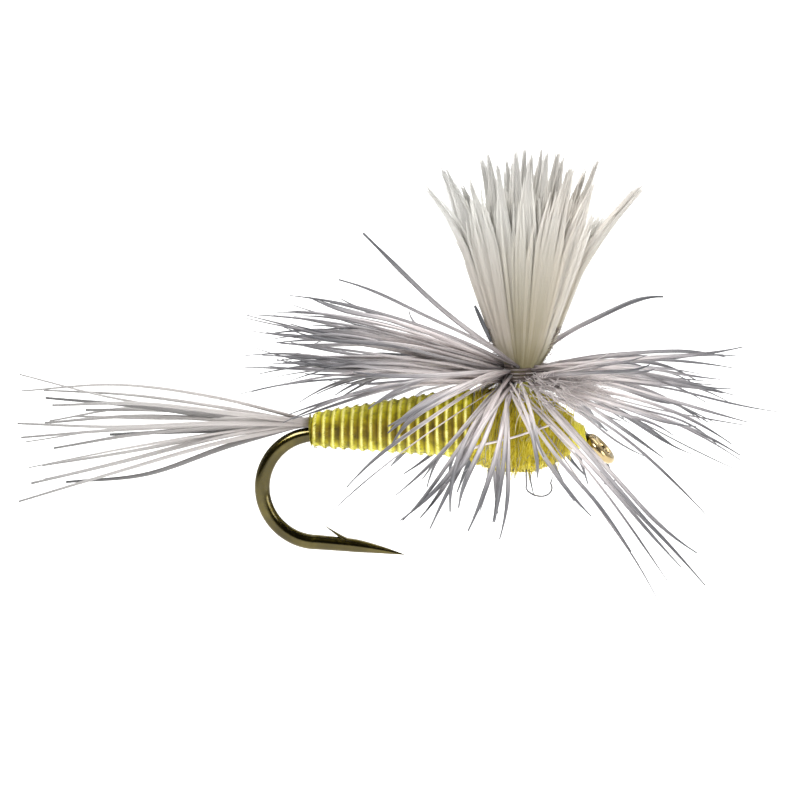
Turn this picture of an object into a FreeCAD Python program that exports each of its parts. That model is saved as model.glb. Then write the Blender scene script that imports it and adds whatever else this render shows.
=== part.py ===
"""A parachute dry fly tied on a down-eye dry-fly hook, about size 12.

Millimetres and degrees.  The origin is the middle of the hook eye's hole, +X runs
forward along the shank past the eye, +Z is up (the side the wing stands on), and the
fly is the same on both sides of the XZ plane apart from the lie of single fibres.
"""
import FreeCAD
import Part

import math
import os
import random

# ---------------------------------------------------------------- driving dimensions

# hook
WIRE_DIAMETER = 0.50
EYE_RING_RADIUS = 0.55          # middle of the ring's wire
EYE_WIRE_RADIUS = 0.20
EYE_HOLE_RADIUS = 0.38          # the short straight throat of the eye
EYE_DROP = 47.0                 # how far the eye is turned down from the shank
BEND_START_X = -11.40           # where the straight shank ends
BEND_RADIUS = 2.20              # middle of the wire, so the gape is 4.4
POINT_SLOPE = 4.0               # the point run falls away from the shank
POINT_RUN = 3.70                # end of bend to the tip
SPEAR_LENGTH = 2.30             # tapered part of the point run
POINT_RADIUS = 0.02
NECK_LENGTH = 0.70              # where the wire thins down to the eye
BARB_LENGTH = 0.95
BARB_RISE = 0.69                # height of the barb's tip above the middle of the wire
BARB_THICKNESS = 0.24

# thread and lashings
THREAD_DIAMETER = 0.05
THREAD_BASE_THICKNESS = 0.04
FIT_GAP = 0.01                  # free space left between lashed pieces
THREAD_BASE_FRONT_X = -1.24
TAIL_LASHING_RADIUS = 0.51
TAIL_LASHING_LENGTH = 0.48
BUTT_LASHING_RADIUS = 0.595
BUTT_LASHING_LENGTH = 0.72
POST_WRAPS_BOTTOM_Z = 1.75
HEAD_REAR_X = -1.13
HEAD_FRONT_X = -0.62
HEAD_REAR_RADIUS = 0.52
HEAD_FRONT_RADIUS = 0.31
WHIP_FINISH_TURNS = 6
WHIP_FINISH_THREAD_RADIUS = 0.030
COIL_STEPS = 20                 # straight runs in one turn of a wound thread

# body
ABDOMEN_REAR_X = -11.72
ABDOMEN_FRONT_X = -5.05
ABDOMEN_REAR_RADIUS = 0.705
ABDOMEN_TAPER = 6.45            # half angle of the cone
ABDOMEN_REAR_Z = 0.58
ABDOMEN_TILT = 3.5              # the cone's axis climbs towards the wing
BIOT_PITCH = 0.385
BIOT_BEAD_RADIUS = 0.07
BIOT_WEB_THICKNESS = 0.05
UNDERBODY_START_RUN = 0.75
THORAX_OUTLINE = (              # distance along the thorax's axis, radius there
    (0.0, 1.44), (0.7, 1.60), (1.5, 1.68), (2.3, 1.60), (3.0, 1.30), (3.78, 0.78))

# wing and hackle
POST_X = -3.25
POST_RADIUS = 0.47
WING_BUTT_LENGTH = 2.55
WING_BUTT_FRONT_RADIUS = 0.30
WING_BUTT_REAR_RADIUS = 0.12
HACKLE_BOTTOM_Z = 2.70
HACKLE_TURNS = 5
HACKLE_PITCH = 0.14
STEM_RADIUS = 0.06
BARBS_PER_TURN = 20
BARB_REACH = 10.6               # mean length of a hackle barb
BARB_WIDTH = 0.17
BARB_DEPTH = 0.08
RAISED_BARBS = ((200, 38, 8.1), (348, 24, 6.2))     # azimuth, rise, length of two strays
WING_BASE_Z = 3.57
WING_TIP_Z = 11.60
WING_BEND_Z = 3.47
WING_LEAN = 0.035               # how far the bundle leans forward for each mm of height
TUFT_SPACING = 0.40             # between tuft middles, in half widths of the bundle
TUFT_FILL = 0.90                # share of its cell that a tuft fills

# tail
TAIL_ROOT_X = -11.95
TAIL_LENGTH = 11.6
TAIL_COLUMNS = 7
TAIL_ROWS = 3
TAIL_FIBRE_WIDTH = 0.065
TAIL_FIBRE_PITCH = 0.08
TAIL_FREE_WIDTH = 0.09
TAIL_FREE_DEPTH = 0.07
TAIL_BUTT_LENGTH = 2.6

# ---------------------------------------------------------------- worked-out values

WIRE_RADIUS = WIRE_DIAMETER / 2
SHANK_Z = EYE_RING_RADIUS * math.sin(math.radians(EYE_DROP))
SHANK_FRONT_X = -EYE_RING_RADIUS * math.cos(math.radians(EYE_DROP))
BASE_RADIUS = WIRE_RADIUS + FIT_GAP + THREAD_BASE_THICKNESS
THREAD_RADIUS = THREAD_DIAMETER / 2
TAIL_BUTT_Z = SHANK_Z + BASE_RADIUS + 2 * FIT_GAP
WRAP_RADIUS = POST_RADIUS + FIT_GAP + THREAD_RADIUS
STEM_COIL_RADIUS = WRAP_RADIUS + THREAD_RADIUS + FIT_GAP + STEM_RADIUS
POST_TOP_Z = HACKLE_BOTTOM_Z + HACKLE_TURNS * HACKLE_PITCH - 0.10

FORWARD = FreeCAD.Vector(1, 0, 0)
UP = FreeCAD.Vector(0, 0, 1)
SIDEWAYS = FreeCAD.Vector(0, 1, 0)


def point(x, y, z):
    return FreeCAD.Vector(x, y, z)


def cosine(degrees):
    return math.cos(math.radians(degrees))


def sine(degrees):
    return math.sin(math.radians(degrees))


# ---------------------------------------------------------------- shared shapes

def rod(start, end, radius):
    """A round bar between two points."""
    return Part.makeCylinder(radius, (end - start).Length, start, end - start)


def tapered_rod(start, end, start_radius, end_radius):
    return Part.makeCone(start_radius, end_radius, (end - start).Length, start, end - start)


def wound_strand(section, start, direction, pitch, length, radius, taper=0.0):
    """A strand of the given section wound round an axis.

    The section is a closed wire drawn in the XZ plane about (radius, 0, 0), with
    the winding's axis along Z."""
    helix = Part.makeHelix(pitch, length, radius, taper)
    strand = Part.Wire(helix.Edges).makePipeShell([section], True, True)
    strand.Placement = FreeCAD.Placement(start, FreeCAD.Rotation(UP, direction))
    return strand


def faceted_solid(rings, tip=None):
    """A closed solid with flat faces, skinned over rings that have equal point counts.

    The first ring is capped; the last is capped too, or drawn to a tip."""
    count = len(rings[0])
    points = [tuple(corner) for ring in rings for corner in ring]
    faces = [(0, k + 1, k) for k in range(1, count - 1)]
    for level in range(len(rings) - 1):
        low = level * count
        high = low + count
        for k in range(count):
            after = (k + 1) % count
            faces.append((low + k, low + after, high + after))
            faces.append((low + k, high + after, high + k))
    last = (len(rings) - 1) * count
    if tip is None:
        faces += [(last, last + k, last + k + 1) for k in range(1, count - 1)]
    else:
        points.append(tuple(tip))
        apex = len(points) - 1
        faces += [(last + k, last + (k + 1) % count, apex) for k in range(count)]
    shell = Part.Shape()
    shell.makeShapeFromMesh((points, faces), 1e-6)
    solid = Part.makeSolid(shell)
    if solid.Volume < 0:
        solid.reverse()
    return solid


def tapered_fibre(path, width, depth, across):
    """A fibre along a path of points, widest near its root and pointed at its tip.

    across is the direction in which the fibre is wide."""
    rings = []
    for k, place in enumerate(path[:-1]):
        along = (path[k + 1] - path[max(k - 1, 0)]).normalize()
        side = (across - along * across.dot(along)).normalize()
        flat = along.cross(side)
        fullness = (1 - k / (len(path) - 1)) ** 0.6
        side = side * (width / 2 * fullness)
        flat = flat * (depth / 2 * fullness)
        rings.append([place + side, place + flat, place - side, place - flat])
    return faceted_solid(rings, path[-1])


def faceted_coil(start, end, turns, start_radius, end_radius, strand_radius):
    """A five-sided strand wound round the line from start to end.

    The two radii are those of the strand's middle at the first and the last turn."""
    axis = end - start
    along = FreeCAD.Vector(axis).normalize()
    first_side = SIDEWAYS.cross(along)
    count = round(turns * COIL_STEPS)
    rings = []
    for k in range(count + 1):
        share = k / count
        turned = 360 * k / COIL_STEPS
        radius = start_radius + (end_radius - start_radius) * share
        outward = first_side * cosine(turned) + SIDEWAYS * sine(turned)
        middle = start + axis * share + outward * radius
        rings.append([middle + outward * (strand_radius * cosine(corner))
                      + along * (strand_radius * sine(corner)) for corner in range(0, 360, 72)])
    return faceted_solid(rings)


def one_shape(solids):
    return Part.makeCompound(solids) if len(solids) > 1 else solids[0]


# ---------------------------------------------------------------- hook

def bend_point(angle):
    """A point on the middle of the wire in the bend; 90 is the top, 180 the rear."""
    return point(BEND_START_X + BEND_RADIUS * cosine(angle), 0,
                 SHANK_Z - BEND_RADIUS + BEND_RADIUS * sine(angle))


BEND_END_ANGLE = 270 - POINT_SLOPE
BEND_END = bend_point(BEND_END_ANGLE)
POINT_DIRECTION = point(cosine(POINT_SLOPE), 0, -sine(POINT_SLOPE))
POINT_UP = point(sine(POINT_SLOPE), 0, cosine(POINT_SLOPE))
POINT_TIP = BEND_END + POINT_DIRECTION * POINT_RUN
EYE_AXIS = point(-sine(EYE_DROP), 0, -cosine(EYE_DROP))


def hook_bend():
    arc = Part.Arc(bend_point(90), bend_point(180), BEND_END).toShape()
    section = Part.Wire([Part.makeCircle(WIRE_RADIUS, bend_point(90), FORWARD)])
    return Part.Wire([arc]).makePipeShell([section], True, True)


def hook_point():
    """The spear: its lower side carries straight on, its upper side tapers down."""
    spear_start = POINT_TIP - POINT_DIRECTION * SPEAR_LENGTH
    drop = WIRE_RADIUS - POINT_RADIUS
    end = POINT_TIP - POINT_UP * drop
    wide = Part.Wire([Part.makeCircle(WIRE_RADIUS, spear_start, POINT_DIRECTION)])
    narrow = Part.Wire([Part.makeCircle(POINT_RADIUS, end, POINT_DIRECTION)])
    straight = rod(BEND_END, spear_start, WIRE_RADIUS)
    return straight.fuse(Part.makeLoft([wide, narrow], True))


def hook_barb():
    """A sliver cut and raised from the top of the wire, pointing back at the bend."""
    root = POINT_TIP - POINT_DIRECTION * (SPEAR_LENGTH - 0.05)
    front = root + POINT_DIRECTION * 0.25 + POINT_UP * 0.05
    back = root - POINT_DIRECTION * 0.22 + POINT_UP * 0.12
    tip = root - POINT_DIRECTION * BARB_LENGTH + POINT_UP * BARB_RISE
    middle = root - POINT_DIRECTION * 0.35 + POINT_UP * 0.39
    corners = [front, middle, tip, back]
    outline = Part.makePolygon(corners + [front])
    blade = Part.Face(outline).extrude(SIDEWAYS * BARB_THICKNESS)
    blade.translate(SIDEWAYS * (-BARB_THICKNESS / 2))
    return blade


def hook_eye():
    ring = Part.makeTorus(EYE_RING_RADIUS, EYE_WIRE_RADIUS, point(0, 0, 0), EYE_AXIS)
    reach = 2 * EYE_WIRE_RADIUS
    throat = rod(EYE_AXIS * -reach, EYE_AXIS * reach, EYE_HOLE_RADIUS)
    return ring.cut(throat)


def hook():
    shank_end = point(SHANK_FRONT_X - 0.02, 0, SHANK_Z)
    neck_start = point(SHANK_FRONT_X - NECK_LENGTH, 0, SHANK_Z)
    shank = rod(point(BEND_START_X, 0, SHANK_Z), neck_start, WIRE_RADIUS)
    neck = tapered_rod(neck_start, shank_end, WIRE_RADIUS, EYE_WIRE_RADIUS)
    wire = shank.fuse([hook_bend(), hook_point(), hook_barb(), neck, hook_eye()])
    return wire.removeSplitter().Solids[0]


# ---------------------------------------------------------------- tail

def tail_root(column, row):
    """Sideways and upward place of one tail fibre in the lashed bundle."""
    y = (column - (TAIL_COLUMNS - 1) / 2) * TAIL_FIBRE_PITCH
    z = TAIL_BUTT_Z + TAIL_FIBRE_WIDTH / 2 + row * TAIL_FIBRE_PITCH
    return y, z


def tail_slots():
    return [(column, row) for row in range(TAIL_ROWS) for column in range(TAIL_COLUMNS)]


def tail_fibres():
    """The free part of the tail: fibres that fan out and curve a little."""
    chance = random.Random(12)
    segments = 5
    solids = []
    for column, row in tail_slots():
        y, z = tail_root(column, row)
        yaw = (column - (TAIL_COLUMNS - 1) / 2) * 3.4 + chance.uniform(-0.8, 0.8)
        rise = -11.5 + row * 8.5 + (column % 3) * 2.2 + chance.uniform(-0.8, 0.8)
        curl = chance.uniform(-2.5, 4.0)
        length = TAIL_LENGTH * chance.uniform(0.88, 1.0)
        path = []
        for k in range(segments + 1):
            run = k / segments
            climb = rise + curl * (1 - run)
            step = length * run
            path.append(point(TAIL_ROOT_X - step * cosine(climb) * cosine(yaw),
                              y + step * sine(yaw), z + step * sine(climb)))
        solids.append(tapered_fibre(path, TAIL_FREE_WIDTH, TAIL_FREE_DEPTH, SIDEWAYS))
    return one_shape(solids)


def tail_butts():
    """The lashed-down ends of the same fibres, on top of the shank."""
    half = TAIL_FIBRE_WIDTH / 2
    solids = []
    for column, row in tail_slots():
        y, z = tail_root(column, row)
        start = point(TAIL_ROOT_X + 0.12, y - half, z - half)
        trim = TAIL_BUTT_LENGTH - 0.25 * row
        solids.append(Part.makeBox(trim, TAIL_FIBRE_WIDTH, TAIL_FIBRE_WIDTH, start))
    return one_shape(solids)


def tail_lashing():
    """Turns of thread round shank and fibres at the bend."""
    thread_radius = 0.02
    turns = TAIL_LASHING_LENGTH / (THREAD_DIAMETER + FIT_GAP)
    start = point(ABDOMEN_REAR_X + 0.06, 0, SHANK_Z + 0.17)
    return faceted_coil(start, start + FORWARD * TAIL_LASHING_LENGTH, turns,
                        TAIL_LASHING_RADIUS, TAIL_LASHING_RADIUS, thread_radius)


# ---------------------------------------------------------------- abdomen

ABDOMEN_START = point(ABDOMEN_REAR_X, 0, ABDOMEN_REAR_Z)
ABDOMEN_DIRECTION = point(cosine(ABDOMEN_TILT), 0, sine(ABDOMEN_TILT))
ABDOMEN_LENGTH = (ABDOMEN_FRONT_X - ABDOMEN_REAR_X) / cosine(ABDOMEN_TILT)


def abdomen_radius(run):
    """Outer radius of the abdomen at a distance along its own axis."""
    return ABDOMEN_REAR_RADIUS + run * math.tan(math.radians(ABDOMEN_TAPER))


def abdomen_biot():
    """One flat feather strand wound forward; its raised edge makes the ridges."""
    first = BIOT_BEAD_RADIUS
    radius = abdomen_radius(first) - BIOT_BEAD_RADIUS
    web = BIOT_PITCH - 2 * BIOT_BEAD_RADIUS
    low = -BIOT_BEAD_RADIUS
    high = low + BIOT_WEB_THICKNESS
    slope = math.tan(math.radians(ABDOMEN_TAPER))
    bead_top = point(radius, 0, BIOT_BEAD_RADIUS)
    bead_foot = point(radius + low, 0, 0)
    bead = Part.Arc(bead_foot, point(radius + BIOT_BEAD_RADIUS, 0, 0), bead_top)
    shoulder = point(radius + high + web * slope, 0, BIOT_BEAD_RADIUS + web)
    lip = point(radius + low + web * slope, 0, BIOT_BEAD_RADIUS + web)
    inner = point(radius + high, 0, BIOT_BEAD_RADIUS)
    edges = [bead.toShape(),
             Part.makeLine(bead_top, inner),
             Part.makeLine(inner, shoulder),
             Part.makeLine(shoulder, lip),
             Part.makeLine(lip, bead_foot)]
    turns_length = ABDOMEN_LENGTH - BIOT_PITCH - BIOT_BEAD_RADIUS
    start = ABDOMEN_START + ABDOMEN_DIRECTION * first
    return wound_strand(Part.Wire(edges), start, ABDOMEN_DIRECTION, BIOT_PITCH,
                        turns_length, radius, ABDOMEN_TAPER)


def abdomen_underbody():
    """A tapered floss core with a channel for the shank, tail butts and wing butts."""
    skin = 2 * BIOT_BEAD_RADIUS + FIT_GAP
    start = ABDOMEN_START + ABDOMEN_DIRECTION * UNDERBODY_START_RUN
    end = ABDOMEN_START + ABDOMEN_DIRECTION * (ABDOMEN_LENGTH - 0.05)
    core = tapered_rod(start, end, abdomen_radius(UNDERBODY_START_RUN) - skin,
                       abdomen_radius(ABDOMEN_LENGTH - 0.05) - skin)
    shank_channel = rod(point(-13, 0, SHANK_Z), point(0, 0, SHANK_Z), BASE_RADIUS + FIT_GAP)
    width = TAIL_COLUMNS * TAIL_FIBRE_PITCH + 2 * FIT_GAP
    height = TAIL_ROWS * TAIL_FIBRE_PITCH + 4 * FIT_GAP
    tail_channel = Part.makeBox(3.1, width, height,
                                point(TAIL_ROOT_X, -width / 2, TAIL_BUTT_Z - 2 * FIT_GAP))
    return core.cut([shank_channel, tail_channel, wing_butt_cone(3 * FIT_GAP)]).Solids[0]


# ---------------------------------------------------------------- shank thread and head

def shank_thread_base():
    """The first layer of thread on the wire, a close-wound sleeve."""
    start = point(BEND_START_X - 0.05, 0, SHANK_Z)
    end = point(THREAD_BASE_FRONT_X, 0, SHANK_Z)
    sleeve = rod(start, end, BASE_RADIUS)
    return sleeve.cut(rod(start - FORWARD, end + FORWARD, WIRE_RADIUS + FIT_GAP))


HEAD_REAR = point(HEAD_REAR_X, 0, SHANK_Z + 0.12)
HEAD_FRONT = point(HEAD_FRONT_X, 0, SHANK_Z + 0.02)


def head_thread_layers():
    """The built-up cone of thread behind the eye."""
    cone = tapered_rod(HEAD_REAR, HEAD_FRONT, HEAD_REAR_RADIUS, HEAD_FRONT_RADIUS)
    return cone.cut(rod(point(-2, 0, SHANK_Z), point(0, 0, SHANK_Z), WIRE_RADIUS + FIT_GAP))


def whip_finish():
    """The last turns of thread, knotted over the head cone."""
    first = 0.08
    last = 0.88
    axis = HEAD_FRONT - HEAD_REAR
    narrowing = HEAD_FRONT_RADIUS - HEAD_REAR_RADIUS
    outside = HEAD_REAR_RADIUS + WHIP_FINISH_THREAD_RADIUS + FIT_GAP
    return faceted_coil(HEAD_REAR + axis * first, HEAD_REAR + axis * last, WHIP_FINISH_TURNS,
                        outside + narrowing * first, outside + narrowing * last,
                        WHIP_FINISH_THREAD_RADIUS)


# ---------------------------------------------------------------- wing post

def wing_butt_cone(extra=0.0):
    """The trimmed butts of the wing, tapering rearward on top of the shank."""
    floor_z = SHANK_Z + BASE_RADIUS + 2 * FIT_GAP
    front = point(POST_X, 0, floor_z + WING_BUTT_FRONT_RADIUS)
    rear = point(POST_X - WING_BUTT_LENGTH - extra, 0, floor_z + WING_BUTT_REAR_RADIUS)
    return tapered_rod(front, rear, WING_BUTT_FRONT_RADIUS + extra, WING_BUTT_REAR_RADIUS + extra)


def wing_post_base():
    """The bound part of the wing bundle: upright post and butts, one bent bundle."""
    foot = point(POST_X, 0, SHANK_Z + BASE_RADIUS + 0.08)
    post = rod(foot, point(POST_X, 0, POST_TOP_Z), POST_RADIUS)
    shank_room = rod(point(-13, 0, SHANK_Z), point(0, 0, SHANK_Z), BASE_RADIUS + FIT_GAP)
    return post.fuse(wing_butt_cone()).cut(shank_room).removeSplitter().Solids[0]


def butt_lashing():
    """Turns of thread that bind the wing butts to the shank behind the post."""
    start = point(POST_X - 1.42, 0, SHANK_Z + 0.20)
    turns = BUTT_LASHING_LENGTH / (THREAD_DIAMETER + 3 * FIT_GAP)
    return faceted_coil(start, start + FORWARD * BUTT_LASHING_LENGTH, turns,
                        BUTT_LASHING_RADIUS, BUTT_LASHING_RADIUS, THREAD_RADIUS)


def post_wraps():
    """Thread wound up the post to make a stiff base for the hackle."""
    start = point(POST_X, 0, POST_WRAPS_BOTTOM_Z)
    end = point(POST_X, 0, POST_TOP_Z - 0.06)
    turns = (end.z - start.z) / (THREAD_DIAMETER + 2 * FIT_GAP)
    return faceted_coil(start, end, turns, WRAP_RADIUS, WRAP_RADIUS, THREAD_RADIUS)


# ---------------------------------------------------------------- wing

def wing_centre(z):
    """The bundle's middle leans forward a little as it rises."""
    return POST_X + WING_LEAN * (z - WING_BEND_Z)


def wing_half_width(z):
    """Half the wing's spread along the shank: a quick flare, then a straight one."""
    rise = z - WING_BASE_Z
    return 0.52 + 0.37 * rise + 0.42 * (1 - math.exp(-rise / 0.7))


def wing_half_depth(z):
    return 0.50 + 0.20 * (z - WING_BASE_Z)


def wing_cells(ring):
    """Middles of the tufts in a hexagonal ring of the bundle, in a unit circle."""
    if ring == 0:
        return [(0.0, 0.0)]
    cells = []
    for side in range(6):
        for step in range(ring):
            start = side * 60
            u = ring * cosine(start) + step * cosine(start + 120)
            v = ring * sine(start) + step * sine(start + 120)
            cells.append((TUFT_SPACING * u, TUFT_SPACING * v))
    return cells


def wing_tuft(u, v, tip_z):
    """One tuft: a hexagonal share of the bundle at each level, drawn to a tip."""
    levels = (0.0, 0.06, 0.14, 0.40, 0.68, 0.86)
    reach = TUFT_SPACING / 2 / cosine(30) * TUFT_FILL
    rings = []
    for level in levels:
        z = WING_BASE_Z + (tip_z - WING_BASE_Z) * level
        share = reach if level < 0.8 else reach * 0.55
        ring = []
        for corner in range(6):
            angle = 30 + 60 * corner
            ring.append(point(
                wing_centre(z) + wing_half_width(z) * (u + share * cosine(angle)),
                wing_half_depth(z) * (v + share * sine(angle)), z))
        rings.append(ring)
    tip = point(wing_centre(tip_z) + wing_half_width(tip_z) * u * 1.12,
                wing_half_depth(tip_z) * v * 1.12, tip_z)
    return faceted_solid(rings, tip)


def wing_tufts(rings, seed):
    chance = random.Random(seed)
    solids = []
    for ring in rings:
        for u, v in wing_cells(ring):
            tip_z = WING_TIP_Z - 1.1 * u * u + chance.uniform(-0.30, 0.30)
            solids.append(wing_tuft(u, v, tip_z))
    return one_shape(solids)


# ---------------------------------------------------------------- hackle

def hackle_stem():
    """The feather's stem, wound flat round the post."""
    start = point(POST_X, 0, HACKLE_BOTTOM_Z)
    turns = HACKLE_TURNS - 0.5
    return faceted_coil(start, start + UP * (HACKLE_PITCH * turns), turns,
                        STEM_COIL_RADIUS, STEM_COIL_RADIUS, STEM_RADIUS)


def barb_droop(azimuth):
    """How far a barb points below level: level fore and aft, steep at the sides."""
    side = abs(sine(azimuth))
    front = max(0.0, cosine(azimuth))
    return -4.0 + 30.0 * side ** 1.5 + 14.0 * side * front


def hackle_barb(azimuth, root_z, droop, sag, length):
    root_radius = STEM_COIL_RADIUS + STEM_RADIUS + FIT_GAP
    segments = 4
    outward = point(cosine(azimuth), sine(azimuth), 0)
    path = []
    for k in range(segments + 1):
        run = k / segments
        angle = droop + sag * (run - 0.5)
        reach = root_radius + length * run * cosine(angle)
        path.append(point(POST_X, 0, root_z - length * run * sine(angle)) + outward * reach)
    across = outward.cross(UP)
    return tapered_fibre(path, BARB_WIDTH, BARB_DEPTH, across)


def hackle_barbs(turn):
    chance = random.Random(40 + turn)
    solids = []
    for k in range(BARBS_PER_TURN):
        turned = (k + 0.5) / BARBS_PER_TURN
        azimuth = 360 * turned + chance.uniform(-5, 5)
        root_z = HACKLE_BOTTOM_Z + HACKLE_PITCH * (turn - 1 + turned)
        lift = (turn - 3) * 3.0 + chance.uniform(-4, 4)
        droop = barb_droop(azimuth) - lift
        sag = chance.uniform(-4, 8)
        length = BARB_REACH * chance.uniform(0.80, 1.04)
        solids.append(hackle_barb(azimuth, root_z, droop, sag, length))
    if turn == HACKLE_TURNS:
        root_z = HACKLE_BOTTOM_Z + HACKLE_PITCH * (turn - 0.5)
        for azimuth, rise, length in RAISED_BARBS:
            solids.append(hackle_barb(azimuth, root_z, -rise, -6, length))
    return one_shape(solids)


# ---------------------------------------------------------------- thorax

THORAX_REAR = point(-4.96, 0, 0.80)
THORAX_FRONT = point(-1.18, 0, 0.56)


def thorax_body():
    """The wound dubbing as one round spindle about its own axis."""
    stations = [point(radius, 0, run) for run, radius in THORAX_OUTLINE]
    curve = Part.BSplineCurve()
    curve.interpolate(stations)
    rear_middle = point(0, 0, 0)
    front_middle = point(0, 0, stations[-1].z)
    edges = [Part.makeLine(rear_middle, stations[0]),
             curve.toShape(),
             Part.makeLine(stations[-1], front_middle),
             Part.makeLine(front_middle, rear_middle)]
    spindle = Part.Face(Part.Wire(edges)).revolve(point(0, 0, 0), UP, 360)
    spindle.Placement = FreeCAD.Placement(
        THORAX_REAR, FreeCAD.Rotation(UP, THORAX_FRONT - THORAX_REAR))
    return spindle


def thorax_dubbing(low_x, high_x):
    """A slice of the spindle, hollowed for everything that it is wound over."""
    size = 6.0
    slice_box = Part.makeBox(high_x - low_x, size, size, point(low_x, -size / 2, -size / 2))
    slice_box.translate(point(0, 0, 1))
    shank_room = rod(point(-13, 0, SHANK_Z), point(0, 0, SHANK_Z), BASE_RADIUS + 2 * FIT_GAP)
    lashing_room = rod(point(-6, 0, SHANK_Z + 0.20), point(POST_X - 0.3, 0, SHANK_Z + 0.20),
                       BUTT_LASHING_RADIUS + THREAD_RADIUS + 2 * FIT_GAP)
    post_room = rod(point(POST_X, 0, SHANK_Z), point(POST_X, 0, 4),
                    WRAP_RADIUS + THREAD_RADIUS + 2 * FIT_GAP)
    room = [shank_room, lashing_room, post_room]
    return thorax_body().common(slice_box).cut(room).Solids[0]


# ---------------------------------------------------------------- all sub-parts

def all_parts():
    parts = {
        "hook": hook(),
        "shank_thread_base": shank_thread_base(),
        "tail_fibres": tail_fibres(),
        "tail_butts": tail_butts(),
        "tail_lashing": tail_lashing(),
        "abdomen_underbody": abdomen_underbody(),
        "abdomen_biot": abdomen_biot(),
        "wing_post_base": wing_post_base(),
        "butt_lashing": butt_lashing(),
        "post_wraps": post_wraps(),
        "wing_core_tufts": wing_tufts((0, 1), 21),
        "wing_outer_tufts": wing_tufts((2,), 22),
        "thorax_dubbing_rear": thorax_dubbing(-5.0, POST_X - 0.02),
        "thorax_dubbing_front": thorax_dubbing(POST_X + 0.02, -1.0),
        "hackle_stem": hackle_stem(),
        "head_thread_layers": head_thread_layers(),
        "whip_finish": whip_finish(),
    }
    for turn in range(1, HACKLE_TURNS + 1):
        parts["hackle_barbs_turn_%d" % turn] = hackle_barbs(turn)
    return parts


def main():
    os.makedirs("parts", exist_ok=True)
    for name, shape in all_parts().items():
        shape.exportStep("parts/" + name + ".step")
        box = shape.BoundBox
        print("%-22s solids %3d  valid %s  volume %9.5f  x %6.2f..%6.2f  y %6.2f..%6.2f  z %6.2f..%6.2f"
              % (name, len(shape.Solids), shape.isValid(), shape.Volume,
                 box.XMin, box.XMax, box.YMin, box.YMax, box.ZMin, box.ZMax))


main()
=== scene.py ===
"""Looks of a parachute dry fly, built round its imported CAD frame.

Lengths in this script are millimetres until a mesh is made; make_object turns them
into metres.  Thin things are strands: a path of points with a width at each, skinned
as a tube.  Each vertex keeps three numbers that the materials read: how far along its
strand it is (0 at the root, 1 at the tip), how far round or across it is, and a random
tint that is the same over one strand.
"""

import math
import random

import bpy
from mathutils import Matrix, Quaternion, Vector, noise


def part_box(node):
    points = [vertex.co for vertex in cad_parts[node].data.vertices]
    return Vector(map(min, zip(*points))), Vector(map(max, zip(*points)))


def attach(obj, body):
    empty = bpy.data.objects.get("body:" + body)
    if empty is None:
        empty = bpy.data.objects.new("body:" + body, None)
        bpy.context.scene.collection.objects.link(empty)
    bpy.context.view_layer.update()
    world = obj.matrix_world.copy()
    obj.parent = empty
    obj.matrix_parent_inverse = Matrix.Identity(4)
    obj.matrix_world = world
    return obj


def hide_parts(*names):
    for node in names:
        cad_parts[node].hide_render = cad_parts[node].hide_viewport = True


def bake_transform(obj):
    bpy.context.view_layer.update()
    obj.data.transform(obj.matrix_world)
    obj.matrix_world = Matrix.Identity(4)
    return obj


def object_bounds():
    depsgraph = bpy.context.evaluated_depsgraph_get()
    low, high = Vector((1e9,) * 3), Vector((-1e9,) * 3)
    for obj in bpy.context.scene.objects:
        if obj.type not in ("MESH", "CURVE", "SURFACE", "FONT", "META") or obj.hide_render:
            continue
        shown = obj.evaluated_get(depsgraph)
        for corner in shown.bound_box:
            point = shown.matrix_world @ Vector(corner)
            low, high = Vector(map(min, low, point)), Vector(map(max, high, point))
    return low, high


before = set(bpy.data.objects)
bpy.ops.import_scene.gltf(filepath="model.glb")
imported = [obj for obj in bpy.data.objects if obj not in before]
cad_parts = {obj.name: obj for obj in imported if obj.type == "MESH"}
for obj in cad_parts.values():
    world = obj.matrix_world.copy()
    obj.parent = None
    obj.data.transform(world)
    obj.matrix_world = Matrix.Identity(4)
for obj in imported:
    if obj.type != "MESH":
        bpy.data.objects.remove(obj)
cad_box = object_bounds()

MM = 0.001
UP = Vector((0, 0, 1))
FORWARD = Vector((1, 0, 0))
SIDEWAYS = Vector((0, 1, 0))


def box_mm(node):
    low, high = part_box(node)
    return low / MM, high / MM


def middle_of(node):
    low, high = box_mm(node)
    return (low + high) / 2


def lerp(a, b, share):
    return a + (b - a) * share


def clamp(value, low=0.0, high=1.0):
    return min(high, max(low, value))


def shares(steps):
    """Even steps from 0 to 1."""
    return [k / steps for k in range(steps + 1)]


def cosine(degrees):
    return math.cos(math.radians(degrees))


def sine(degrees):
    return math.sin(math.radians(degrees))


def add_to_scene(name, data):
    thing = bpy.data.objects.new(name, data)
    bpy.context.scene.collection.objects.link(thing)
    return thing


# ---- camera and light

VIEW_AZIMUTH = 5.5
VIEW_ELEVATION = 10.0
VIEW_WIDTH = 32.0           # what the square picture spans at the fly, in mm
VIEW_DISTANCE = 450.0
VIEW_MIDDLE = Vector((-8.05, 0.0, 1.85))
SENSOR = 36.0
FLOOR_DROP = 45.0           # the fly is photographed held in the air
FLOOR_WIDTH = 12000.0

# The soft lights: place and size in mm, and power in watts.
SOFTBOXES = {
    "key": ((-150, -240, 230), 130, 1.3),
    "fill": ((240, -200, 60), 150, 0.5),
    "ceiling": ((0, 450, 1100), 1500, 26.0),
}

BACK = Vector((sine(VIEW_AZIMUTH) * cosine(VIEW_ELEVATION),
               -cosine(VIEW_AZIMUTH) * cosine(VIEW_ELEVATION),
               sine(VIEW_ELEVATION)))
VIEW_RIGHT = Vector((cosine(VIEW_AZIMUTH), sine(VIEW_AZIMUTH), 0))
VIEW_UP = BACK.cross(VIEW_RIGHT)


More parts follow.
